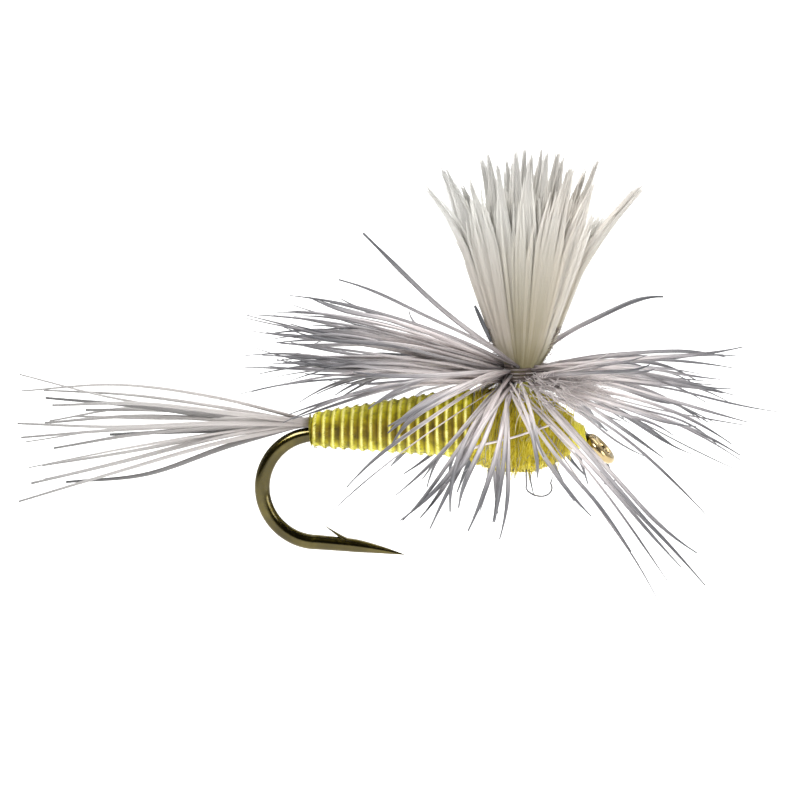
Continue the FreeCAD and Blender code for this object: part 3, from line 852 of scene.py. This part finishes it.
def add_fur_fibre(strands, chance, low_run, high_run):
    """One hair that lies round the thorax; a stray one stands off at its end."""
    start = chance.uniform(low_run, high_run)
    turned = chance.uniform(0, 360)
    stray = chance.random() < STRAY_SHARE
    slant = chance.gauss(0.1, 0.22)
    length = chance.uniform(0.5, 1.7)
    lift = chance.uniform(-0.12, 0.02)
    rise = chance.uniform(0.15, 0.55) if stray else chance.uniform(0.0, 0.1)
    curl = chance.gauss(0, 0.5)
    path = []
    for t in shares(7):
        run = clamp(start + slant * length * t + 0.06 * curl * t * t, low_run, high_run)
        radius = thorax_radius(run) + lift + rise * (2 * t - 1) ** 2 * (t if stray else 0.7)
        here = turned + math.degrees(length * t / max(radius, 0.3))
        path.append(THORAX.at(run, here, radius))
    thick = chance.uniform(0.022, 0.042)
    width = [thick * (1 - 0.8 * abs(2 * t - 1) ** 3) for t in shares(7)]
    shade = 1.0 if stray and chance.random() < 0.4 else chance.gauss(0.52, 0.22)
    strands.add(path, width, sides=3, tint=clamp(shade))


def build_thorax():
    split = middle_of("post_wraps").x - THORAX.rear.x
    for name, low, high, seed, count in (
            ("thorax_dubbing_rear", -0.12, split - 0.02, 3, REAR_FUR_FIBRES),
            ("thorax_dubbing_front", split + 0.02, THORAX.length, 4, FRONT_FUR_FIBRES)):
        strands = Strands()
        add_dubbing(strands, low, high, seed, count)
        tie_in(name + "_fur", strands, dubbing_material(), name)


# ---- thread

HEAD_TURNS = 11
HEAD_REAR_RADIUS = 0.62
HEAD_FRONT_RADIUS = 0.36
HEAD_THREAD = 0.085         # how thick each thread is
WHIP_TURNS = 6
WHIP_PITCH = 0.072
WHIP_THREAD = 0.075
POST_PITCH = 0.062
POST_RADIUS = 0.5
POST_THREAD = 0.06
STEM_PITCH = 0.14
STEM_THICKNESS = 0.13


def coil(start, axis, first_side, turns, pitch, start_radius, end_radius, thick, chance,
         steps=40, uneven=0.1, lean=0.0):
    """Turns of thread, a little uneven, from start along an axis.

    With some lean, each turn lies further along the axis on its first side."""
    path = []
    next_side = axis.cross(first_side)
    around = shares(int(turns * steps))
    for k, share in enumerate(around):
        turned = 360 * k / steps
        radius = lerp(start_radius, end_radius, share)
        radius += uneven * thick * noise.noise(Vector((k * 0.05, start.x, 7.0)))
        run = pitch * k / steps + uneven * pitch * noise.noise(Vector((k * 0.03, 4.0, start.z)))
        run += lean * cosine(turned)
        outward = first_side * cosine(turned) + next_side * sine(turned)
        path.append(start + axis * run + outward * radius)
    strands = Strands()
    strands.add(path, [thick] * len(path), sides=8, side=axis, tint=chance.random(), along=around)
    return strands


def build_head():
    """Close turns of thread behind the eye, and the whip finish on top of them."""
    low, high = box_mm("head_thread_layers")
    head = Spindle(Vector((low.x - 0.12, 0, SHANK_Z + 0.2)),
                   Vector((high.x - 0.02, 0, SHANK_Z + 0.12)))
    chance = random.Random(8)
    strands = coil(head.rear, head.axis, head.down, HEAD_TURNS, head.length / HEAD_TURNS,
                   HEAD_REAR_RADIUS, HEAD_FRONT_RADIUS, HEAD_THREAD, chance, lean=0.13)
    material = thread_material("head_thread", (0.42, 0.36, 0.004), (0.74, 0.66, 0.03))
    tie_in("head_thread", strands, material, "head_thread_layers")
    strands = coil(head.rear + head.axis * 0.2, head.axis, head.down, WHIP_TURNS, WHIP_PITCH,
                   0.6, 0.44, WHIP_THREAD, chance, uneven=0.35, lean=0.16)
    material = thread_material("whip_thread", (0.46, 0.4, 0.005), (0.8, 0.72, 0.05))
    tie_in("whip_finish_thread", strands, material, "whip_finish")


def build_post_wraps():
    low, high = box_mm("post_wraps")
    turns = (high.z - low.z) / POST_PITCH
    strands = coil(Vector(((low.x + high.x) / 2, 0, low.z)), UP, FORWARD, turns, POST_PITCH,
                   POST_RADIUS, POST_RADIUS, POST_THREAD, random.Random(2), steps=28)
    material = thread_material("post_thread", (0.3, 0.27, 0.05), (0.62, 0.58, 0.16))
    tie_in("post_thread", strands, material, "post_wraps")


def build_hackle_stem():
    low, high = box_mm("hackle_stem")
    turns = (high.z - low.z) / STEM_PITCH - 0.6
    strands = coil(Vector(((low.x + high.x) / 2, 0, low.z + 0.06)), UP, FORWARD, turns,
                   STEM_PITCH, 0.6, 0.57, STEM_THICKNESS, random.Random(6), steps=36, uneven=0.3)
    tie_in("hackle_quill", strands, quill_material(), "hackle_stem")


# ---- wing

WING_FOOT_DROP = 0.42       # how far the bundle goes down inside the hackle
WING_FOOT_HALF = 0.7
WING_SPLIT = 4.7            # height above the foot where the tufts part
WING_HEIGHT = 8.2           # height at which a fibre's share of length is 1
WING_DOWN_MARK = 1.4        # stands in place of the share of length on the downy hairs
HEART_TOP = 5.7

# The tufts that shape the top: tip forward of and above the wing's foot, and the tuft's
# place across the bundle's depth (-1 near, 1 far).
WING_TIPS = [
    (-3.79, 7.32, -0.9), (-3.24, 7.82, 0.5), (-2.93, 7.95, -0.4), (-1.95, 7.72, -0.8),
    (-1.67, 8.14, 0.6), (-1.24, 8.57, -0.3), (-0.79, 8.37, -0.8), (-0.42, 8.03, 0.7),
    (-0.05, 8.91, -0.6), (0.13, 8.7, 0.4), (0.5, 8.34, -0.8), (0.87, 8.68, 0.0),
    (1.17, 8.77, -0.6), (1.43, 8.45, 0.7), (1.77, 8.41, -0.3), (2.26, 8.25, -0.8),
    (3.13, 8.29, 0.4), (3.06, 7.57, -0.7), (-2.4, 7.25, 0.2), (-1.45, 7.8, 0.9),
    (-0.6, 8.2, 0.2), (0.3, 8.3, 0.9), (0.7, 8.2, 0.6), (1.6, 8.1, 0.9),
    (2.0, 8.0, 0.2), (2.6, 7.8, 0.6),
]
WING_FILL_TUFTS = 46
GOLDEN_ANGLE = 137.508      # spreads the filling tufts evenly over the bundle
FIBRES_PER_TUFT = 28
OUTLIER_FIBRES = 60
WING_DOWN_HAIRS = 240
INNER_REACH = 0.42          # squared reach in the unit circle of the tufts that are inner


def wing_middle(rise):
    return 0.12 + 0.025 * rise


def wing_half_width(rise):
    """Half the bundle's spread along the shank at a height above the wing's foot."""
    if rise < 0:
        return lerp(WING_FOOT_HALF, 0.46, -rise / WING_FOOT_DROP)
    return WING_FOOT_HALF + 0.365 * rise + 0.2 * (1 - math.exp(-rise / 0.5))


def wing_half_depth(rise):
    return 0.46 + 0.2 * max(0.0, rise)


def wing_place(foot, u, v, rise):
    """Where a lane of the bundle, given in its unit circle, runs at a height."""
    return foot + Vector((wing_middle(rise) + wing_half_width(rise) * u,
                          wing_half_depth(rise) * v, rise))


def wing_tuft_list(chance):
    """The tufts: place in the unit circle, half width there, tip's height, tip's sway and
    how far the fibres gather towards the tip."""
    tufts = []
    for tip_x, top, depth in WING_TIPS:
        u = clamp(0.9 * (tip_x - wing_middle(top)) / wing_half_width(top), -0.93, 0.93)
        v = depth * math.sqrt(1 - u * u)
        sway = tip_x - wing_middle(top) - wing_half_width(top) * u
        tufts.append((u, v, 0.11, top, sway, 0.97))
    for k in range(WING_FILL_TUFTS):
        reach = 0.95 * math.sqrt((k + 0.5) / WING_FILL_TUFTS)
        u = reach * cosine(k * GOLDEN_ANGLE) + chance.uniform(-0.03, 0.03)
        v = reach * sine(k * GOLDEN_ANGLE)
        top = 7.25 - 1.5 * u * u - 0.3 * max(0.0, -u) + chance.uniform(-0.6, 0.3)
        tufts.append((u, v, 0.16, top, 0.25 * u + chance.uniform(-0.15, 0.15), 0.35))
    return tufts


def add_wing_fibre(strands, chance, foot, tuft):
    """One fine flat fibre: it keeps its lane, then gathers towards its tuft's tip."""
    u, v, half, top, sway, closing = tuft
    across = clamp(chance.gauss(0, 0.75), -1.7, 1.7)
    inward = chance.gauss(0, 0.6)
    shorter = (0.25 + abs(across)) if closing > 0.5 else 1.1
    end = max(4.0, top - abs(chance.gauss(0, 0.65)) * shorter - 0.03)
    split = min(WING_SPLIT + chance.uniform(-0.5, 0.6), top - 1.2)
    own_sway = chance.gauss(0, 0.05)
    thick = chance.uniform(0.12, 0.21)
    path = []
    width = []
    for t in shares(18):
        rise = lerp(-WING_FOOT_DROP, end, t)
        gathered = max(0.0, (rise - split) / (top - split))
        spread = 1 - closing * gathered ** 0.75
        lane = u + half * across * spread
        lane_depth = v + half * inward * spread
        reach = max(1.0, math.hypot(lane, lane_depth))
        place = wing_place(foot, lane / reach, lane_depth / reach, rise)
        place.x += sway * gathered ** 1.7 + own_sway * t ** 3
        path.append(place)
        foot_share = 0.5 + 0.5 * clamp((rise + 0.3) / 1.3)
        width.append(thick * foot_share * (1 - 0.45 * gathered) * (1 - 0.8 * t ** 8))
    side = Vector((wing_half_width(2.0), wing_half_depth(2.0) * -u * v, 0))
    side.rotate(Quaternion(UP, math.radians(chance.gauss(0, 5))))
    # The tint is the fibre's place from the rear edge to the forward edge. The wing material
    # paints shade and light by it.
    strands.add(path, width, [0.008 + w * 0.13 for w in width], sides=4, side=side,
                tint=clamp(0.5 + 0.5 * u + chance.gauss(0, 0.03)),
                along=[max(0.0, place.z - foot.z) / WING_HEIGHT for place in path])


def add_wing_heart(strands, foot):
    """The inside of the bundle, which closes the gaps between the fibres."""
    rows = []
    along = []
    turns = range(0, 360, 5)
    for share in shares(24):
        rise = lerp(-WING_FOOT_DROP, HEART_TOP, share)
        full = 0.92 - 0.55 * max(0.0, (rise - 4.2) / 1.5) ** 2
        row = []
        for turned in turns:
            ripple = full * (1 + 0.02 * sine(17 * turned) + 0.015 * sine(29 * turned))
            own_rise = rise + 0.45 * max(0.0, rise - 3.0) / 2.7 * sine(13 * turned)
            row.append(wing_place(foot, cosine(turned) * ripple, sine(turned) * ripple, own_rise))
        rows.append(row)
        along.append(max(0.0, rise) / WING_HEIGHT)
    # The tint is each column's place from the rear edge to the forward edge. The wing material
    # paints shade and light by it.
    tints = [0.5 + 0.45 * cosine(turned) for turned in turns] * len(rows)
    strands.extend_grid(rows, along, [0.0] * len(turns), tints, closed_rows=True)
    last = len(strands.points)
    strands.faces.append(tuple(range(last - len(turns), last)))


def build_wing():
    foot = Vector((middle_of("post_wraps").x, 0, box_mm("wing_core_tufts")[0].z - 0.12))
    chance = random.Random(77)
    inner = Strands()
    outer = Strands()
    add_wing_heart(inner, foot)
    for tuft in wing_tuft_list(chance):
        strands = inner if tuft[0] ** 2 + tuft[1] ** 2 < INNER_REACH else outer
        for _ in range(FIBRES_PER_TUFT):
            add_wing_fibre(strands, chance, foot, tuft)
    add_wing_outlier(outer, chance, foot)
    add_wing_fuzz(outer, chance, foot)
    add_dark_stub(foot)
    for name, strands, node in (("wing_inner_fibres", inner, "wing_core_tufts"),
                                ("wing_outer_fibres", outer, "wing_outer_tufts")):
        piece = make_object(name, strands, wing_material(), smooth=False)
        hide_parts(node)
        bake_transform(piece)


def add_wing_outlier(strands, chance, foot):
    """A pointed tuft that breaks out of the wing's forward edge."""
    for _ in range(OUTLIER_FIBRES):
        lane = chance.uniform(0.82, 0.95)
        lane_depth = chance.uniform(-0.35, 0.05)
        across = chance.gauss(0, 0.5)
        top = 6.2 if chance.random() < 0.3 else 7.3
        end = max(5.4, top - abs(chance.gauss(0, 0.5)) * (0.2 + abs(across)))
        path = []
        for t in shares(18):
            rise = lerp(-WING_FOOT_DROP, end, t)
            gathered = max(0.0, (rise - 4.0) / (end - 4.0))
            place = wing_place(foot, lane, lane_depth, rise)
            place.x += 1.3 * max(0.0, (rise - 3.4) / 3.6) ** 1.5
            place += Vector((0.45, 0, -0.5)) * (across * 0.34 * (1 - gathered) * t)
            path.append(place)
        width = [0.19 * (0.5 + 0.5 * min(1, 4 * t)) * (1 - 0.9 * t ** 5) for t in shares(18)]
        strands.add(path, width, [w * 0.2 for w in width], sides=4, side=FORWARD,
                    tint=chance.uniform(0.55, 0.85),
                    along=[max(0.0, place.z - foot.z) / 7.0 for place in path])


def add_wing_fuzz(strands, chance, foot):
    """Short downy hairs at both sides of the wing's foot."""
    for _ in range(WING_DOWN_HAIRS):
        side = chance.choice((-1, 1))
        rise = chance.uniform(-0.2, 1.5)
        start = wing_place(foot, side * 0.93, chance.uniform(-0.5, 0.2), rise)
        away = Vector((side * chance.uniform(0.3, 1.0), chance.uniform(-0.4, 0.4),
                       chance.uniform(-0.3, 1.0)))
        length = chance.uniform(0.2, 0.7) * lerp(1.0, 0.6, rise / 1.5)
        bend = Vector((chance.uniform(-0.15, 0.15), 0, chance.uniform(-0.2, 0.2)))
        path = [start + away * length * t + bend * t * t for t in (0, 0.35, 0.7, 1.0)]
        strands.add(path, [0.034, 0.031, 0.026, 0.01], sides=3, tint=chance.uniform(0, 0.25),
                    along=[WING_DOWN_MARK] * 4)


def add_dark_stub(foot):
    """A short dark barb caught against the wing's rear edge."""
    path = smooth_path([foot + Vector((-1.12, -0.38, 0.9)), foot + Vector((-1.42, -0.45, 1.6)),
                        foot + Vector((-1.76, -0.45, 2.35))], 8)
    strands = Strands()
    strands.add(path, [0.1, 0.14, 0.17, 0.18, 0.18, 0.17, 0.15, 0.09], sides=8, tint=1.0,
                along=[0.7 + 0.03 * k for k in range(8)])
    piece = make_object("barb_caught_by_wing", strands, hackle_material())
    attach(piece, "wing")


# ---- hackle

QUILL_RADIUS = 0.55         # where the barbs leave the quill
NEAR_ROOT_AZIMUTH = 226     # where the near hanging barbs leave it, and the raised ones
RAISED_ROOT_AZIMUTH = 283
CLUMPS_PER_TURN = 13
ROOT_HAIRS = 420

# The barbs that shape the side view: place of the tip forward of and above the collar as
# the side view shows it, near (1) or far (-1) side, full length, bow and width.
SIDE_BARBS = [
    (-6.15, 5.25, 1, 8.2, -0.3, 0.24), (-7.1, 3.35, 1, 9.0, 0.3, 0.24),
    (-9.05, 2.75, 1, 10.2, 0.45, 0.16), (-10.8, 2.25, 1, 11.3, 0.25, 0.17),
    (-10.1, 2.35, -1, 10.8, 0.35, 0.15), (-9.9, 1.75, 1, 10.4, 0.35, 0.18),
    (-8.3, 1.95, -1, 9.6, 0.4, 0.16), (-7.65, 2.5, -1, 9.4, 0.3, 0.2),
    (-10.9, 1.05, 1, 11.2, 0.1, 0.18), (-10.5, 0.75, -1, 10.8, 0.1, 0.18),
    (-9.9, 0.05, 1, 10.3, 0.05, 0.2), (-11.2, -0.6, 1, 11.6, 0.35, 0.12),
    (-9.2, -1.4, 1, 9.9, 0.65, 0.2), (-8.8, -0.9, -1, 9.8, 0.55, 0.2),
    (-4.9, 2.2, -1, 8.4, 0.1, 0.18), (-10.2, 0.4, -1, 10.9, 0.15, 0.2),
    (-9.4, 1.3, 1, 10.2, 0.25, 0.22), (-8.9, 0.6, 1, 10.0, 0.2, 0.22),
    (-6.6, -1.0, 1, 9.8, 0.15, 0.2), (5.9, 2.75, -1, 7.4, 0.62, 0.25),
    (8.75, 0.55, 1, 9.6, 0.3, 0.17), (8.6, 0.35, -1, 9.5, 0.35, 0.18),
    (5.4, 0.2, 1, 8.2, 0.1, 0.2), (8.05, -0.5, 1, 9.6, 0.35, 0.17),
    (8.85, -0.7, -1, 9.8, 0.3, 0.17), (8.5, -1.3, 1, 9.7, 0.35, 0.16),
    (10.4, -1.6, 1, 10.9, 0.5, 0.1), (9.75, -2.2, -1, 10.6, -0.45, 0.1),
    (8.0, -2.15, 1, 9.9, 0.2, 0.17), (6.3, -2.5, -1, 9.4, 0.2, 0.18),
    (7.4, -3.7, -1, 10.0, 0.35, 0.18), (6.15, -3.7, -1, 9.6, 0.2, 0.18),
    (9.4, -4.8, -1, 11.2, 0.2, 0.1), (7.5, -5.45, 1, 10.4, 0.85, 0.22),
    (7.2, -8.0, 1, 11.4, 0.1, 0.22), (5.9, -7.9, 1, 11.0, 0.15, 0.18),
    (5.75, -8.75, 1, 11.6, -0.15, 0.13), (6.6, -7.6, 1, 11.1, 0.3, 0.2),
    (2.85, -5.75, 1, 9.8, 0.25, 0.2), (4.5, -6.4, 1, 10.0, 0.35, 0.18),
    (-0.45, -6.1, 1, 10.2, 0.35, 0.22), (-1.0, -5.6, 1, 9.9, 0.3, 0.22),
    (-1.95, -5.9, 1, 10.2, 0.35, 0.24), (-2.75, -5.3, 1, 10.0, 0.3, 0.24),
    (-3.6, -5.7, 1, 10.2, 0.35, 0.24), (-4.4, -6.1, 1, 10.4, 0.4, 0.26),
    (-4.6, -4.7, 1, 10.0, 0.25, 0.24), (-6.75, -4.3, 1, 10.2, 0.3, 0.28),
    (-7.9, -5.5, 1, 11.0, 0.25, 0.08), (0.75, -4.3, 1, 9.0, 0.25, 0.2),
    (-5.2, -2.6, 1, 9.0, 0.2, 0.24), (-4.4, -4.3, -1, 9.8, 0.3, 0.25),
    (-3.6, -4.9, -1, 9.8, 0.3, 0.25), (-2.4, -4.6, -1, 9.6, 0.3, 0.25),
    (-0.9, -4.4, -1, 9.6, 0.3, 0.24), (-5.3, -4.0, -1, 10.0, 0.3, 0.24),
    (-3.0, -4.3, -1, 9.6, 0.3, 0.25), (0.5, -4.6, -1, 9.4, 0.25, 0.26),
    (2.4, -5.3, -1, 9.9, 0.3, 0.22), (-4.4, -5.6, 1, 10.3, 0.3, 0.22),
    (-2.9, -5.0, 1, 9.9, 0.3, 0.24), (-1.2, -5.5, -1, 10.0, 0.3, 0.24),
    (-10.6, 1.65, 1, 11.2, 0.3, 0.16), (-11.1, 2.15, -1, 11.5, 0.2, 0.14),
    (-10.9, -0.1, -1, 11.2, 0.1, 0.16), (-10.6, -0.9, 1, 11.1, 0.45, 0.15),
]


def barb_rise(azimuth):
    """Mean rise of the barbs: level to the rear, a little down in front, steep beside."""
    return -1.5 - 7.0 * cosine(azimuth) - 23.0 * abs(sine(azimuth)) ** 1.6


def level_direction(azimuth):
    return Vector((cosine(azimuth), sine(azimuth), 0))


def add_barb_strand(strands, chance, root, aim, bow, width, tint, blunt=0.0, root_azimuth=None,
                    curl=1.0, slim_root=1.0, ripe=1.0):
    """A flat barb from the quill to root + aim, bowed upward in its middle.

    It leaves the quill straight outward, or at another azimuth.  It keeps its width for
    most of its length, then narrows to a point or, if blunt, to a cut end; slim_root is
    its share of width at the quill.  The riper, the sooner it turns slate."""
    level = Vector((aim.x, aim.y, 0)).normalized()
    aside = level.cross(UP)
    tip = root + aim
    root = root + (level if root_azimuth is None else level_direction(root_azimuth)) * QUILL_RADIUS
    sway = aside * chance.gauss(0, 0.28)
    end_curl = (UP * chance.uniform(-0.4, 0.45) + aside * chance.uniform(-0.4, 0.4)) * curl
    ripple = chance.uniform(-0.07, 0.07)
    path = []
    widths = []
    for t in shares(20):
        arch = 4 * t * (1 - t)
        late = max(0.0, (t - 0.7) / 0.3) ** 2
        wave = UP * (ripple * math.sin(9 * t))
        path.append(lerp(root, tip, t) + UP * (bow * arch) + sway * arch + end_curl * late + wave)
        swell = (0.6 + 0.4 * min(1.0, t / 0.22)) * lerp(slim_root, 1.0, min(1.0, t / 0.55))
        narrow = max(blunt, 0.3, min(1.0, (1.01 - t) / 0.22) ** 0.7)
        widths.append(width * swell * (1 - 0.12 * t) * narrow)
    side = aside.copy()
    side.rotate(Quaternion(aim.normalized(), math.radians(chance.gauss(0, 38))))
    strands.add(path, widths, [max(0.015, w * 0.62) for w in widths], sides=8, side=side,
                tint=tint, along=[min(1.0, ripe * t) for t in shares(20)])


def seen_from_the_side(forward, up, near, length):
    """The vector of a given length that the side view shows as forward and up."""
    toward = math.sqrt(max(0.0, length * length - forward * forward - up * up))
    return VIEW_RIGHT * forward + VIEW_UP * up + BACK * (toward * near)


def add_shown_barbs(turns, roots, chance):
    """The barbs of SIDE_BARBS, most with one to three companions close by."""
    for forward, up, near, length, bow, width in SIDE_BARBS:
        aim = seen_from_the_side(forward, up, near, length)
        turn = int(clamp(round(2 + up * 0.25 + chance.gauss(0, 1.2)), 0, 4))
        raised = up > 2.6
        hanging = up < -2.8
        companions = chance.choice((1, 2, 3))
        tint = chance.random()
        if raised:
            companions = 0
            tint = 0.82
        if hanging:
            companions = chance.choice((0, 0, 0, 1))
            tint = chance.uniform(0.1, 0.75) if near > 0 else chance.uniform(0.6, 1.0)
        full_width = width * 0.96 if hanging else width
        if full_width < 0.13:
            companions = 0
        if forward > 5 and up > -3 and chance.random() < 0.6:
            tint = chance.uniform(0.75, 1.0)
        near_low = near > 0 and up < -1.2 and forward < 8
        root_azimuth = chance.gauss(NEAR_ROOT_AZIMUTH, 9) if near_low else None
        if raised and near > 0 and forward < 0:
            root_azimuth = RAISED_ROOT_AZIMUTH
            turn = 4
        add_barb_strand(turns[turn], chance, roots[turn], aim, bow, full_width, tint,
                        blunt=0.5 if raised and width > 0.22 else 0.0,
                        root_azimuth=root_azimuth, curl=0.0 if raised else 1.0,
                        slim_root=0.62 if hanging else 1.0, ripe=1.15 if hanging else 1.0)
        for _ in range(companions):
            wander = Vector([chance.gauss(0, 0.3) for _ in range(3)])
            add_barb_strand(turns[turn], chance, roots[turn],
                            (aim + wander) * chance.uniform(0.8, 1.0),
                            bow + chance.gauss(0, 0.1), full_width * chance.uniform(0.9, 1.2),
                            chance.uniform(0.0, 0.9))


def add_filler_barbs(strands, turn, root, chance):
    """Clumps of barbs all the way round one turn, sparser on the near side."""
    for clump in range(CLUMPS_PER_TURN):
        azimuth = 360 * (clump + chance.random()) / CLUMPS_PER_TURN
        beside = -sine(azimuth) > 0.3
        if beside and chance.random() < 0.9:
            continue
        rise = barb_rise(azimuth) + (turn - 2) * 2.2 + chance.gauss(0, 4.5)
        if abs(cosine(azimuth)) > 0.7 and chance.random() < 0.45:
            continue
        shade = chance.uniform(0.0, 0.9)
        reach = chance.uniform(9.0, 11.6)
        for _ in range(1 if beside else chance.choice((2, 2, 3))):
            turned = azimuth + chance.gauss(0, 2.4)
            lift = rise + chance.gauss(0, 2.0)
            aim = Vector((cosine(lift) * cosine(turned), cosine(lift) * sine(turned),
                          sine(lift))) * (reach * chance.uniform(0.8, 1.0))
            add_barb_strand(strands, chance, root, aim, chance.uniform(0.1, 0.5),
                            chance.uniform(0.16, 0.25), clamp(shade + chance.gauss(0, 0.15)))


def add_root_fuzz(strands, chance, collar, low, high):
    """Downy barbules close to the quill: most stream forward between the barbs."""
    for _ in range(ROOT_HAIRS):
        azimuth = chance.gauss(-8, 32)
        outward = level_direction(azimuth)
        distance = chance.uniform(0.9, 2.8)
        start = Vector((collar.x, 0, chance.uniform(low, high + 0.15)))
        start += outward * distance - UP * (0.2 * distance * (0.4 + abs(sine(azimuth))))
        length = chance.uniform(0.5, 1.9)
        aim = outward + Vector((chance.gauss(0, 0.2), chance.gauss(0, 0.3),
                                chance.gauss(-0.1, 0.22)))
        wave = Vector([chance.gauss(0, 0.06) for _ in range(3)])
        path = [start + aim * (length * t) + wave * math.sin(7 * t)
                for t in (0, 0.15, 0.3, 0.45, 0.6, 0.75, 0.9, 1.0)]
        width = [0.04, 0.038, 0.036, 0.033, 0.028, 0.022, 0.014, 0.006]
        strands.add(path, width, sides=3, tint=chance.uniform(0, 0.5),
                    along=[0.3 + 0.02 * k for k in range(8)])


def add_loose_barbs(strands, collar):
    """A fine barb curled back on itself under the thorax, and one lying across it."""
    middle = collar + Vector((0.95, -0.75, -4.5))
    path = [middle + Vector((0.52 * cosine(turned), 0.15 * sine(turned * 2),
                             0.34 * sine(turned))) for turned in range(165, 400, 15)]
    path.insert(0, path[0] + Vector((-0.02, 0.1, 0.9)))
    path.append(path[-1] + Vector((0.1, 0.1, 0.3)))
    strands.add(path, [0.07] * (len(path) - 1) + [0.02], sides=6, tint=0.9,
                along=[0.62] * len(path))
    crossing = smooth_path([collar + Vector(place) for place in (
        (1.55, -1.72, -1.75), (0.0, -1.98, -2.25), (-1.3, -2.02, -2.6), (-2.5, -1.9, -3.15))], 16)
    strands.add(crossing, [0.08 + 0.05 * (k / 15) for k in range(14)] + [0.1, 0.04], sides=8,
                side=UP, tint=0.2, along=[0.15 + 0.45 * t for t in shares(15)])


def build_hackle():
    low, high = box_mm("hackle_stem")
    collar = (low + high) / 2
    collar.x -= 0.1
    heights = [lerp(low.z + 0.05, high.z - 0.05, t) for t in shares(4)]
    roots = [Vector((collar.x, 0, height)) for height in heights]
    chance = random.Random(99)
    turns = [Strands() for _ in heights]
    add_shown_barbs(turns, roots, chance)
    for turn, strands in enumerate(turns):
        add_filler_barbs(strands, turn, roots[turn], chance)
    add_root_fuzz(turns[4], chance, collar, heights[0], heights[-1])
    add_loose_barbs(turns[0], collar)
    material = hackle_material()
    for turn, strands in enumerate(turns, 1):
        tie_in("hackle_turn_%d_barbs" % turn, strands, material,
               "hackle_barbs_turn_%d" % turn)


# ---- hidden CAD pieces

def dress_inner_pieces():
    """The lashed pieces inside the body keep their CAD shape and get a thread or fibre look."""
    thread = thread_material("inner_thread", (0.4, 0.37, 0.03), (0.7, 0.66, 0.1))
    looks = {
        "shank_thread_base": thread,
        "tail_lashing": thread,
        "butt_lashing": thread,
        "abdomen_underbody": floss_material(),
        "tail_butts": tail_material(),
        "wing_post_base": wing_material(),
    }
    for node, material in looks.items():
        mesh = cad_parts[node].data
        mesh.materials.clear()
        mesh.materials.append(material)


# ---- all together

make_camera()
make_light()
make_floor()
build_hook()
build_tail()
build_abdomen()
build_thorax()
build_head()
build_post_wraps()
build_hackle_stem()
build_wing()
build_hackle()
dress_inner_pieces()
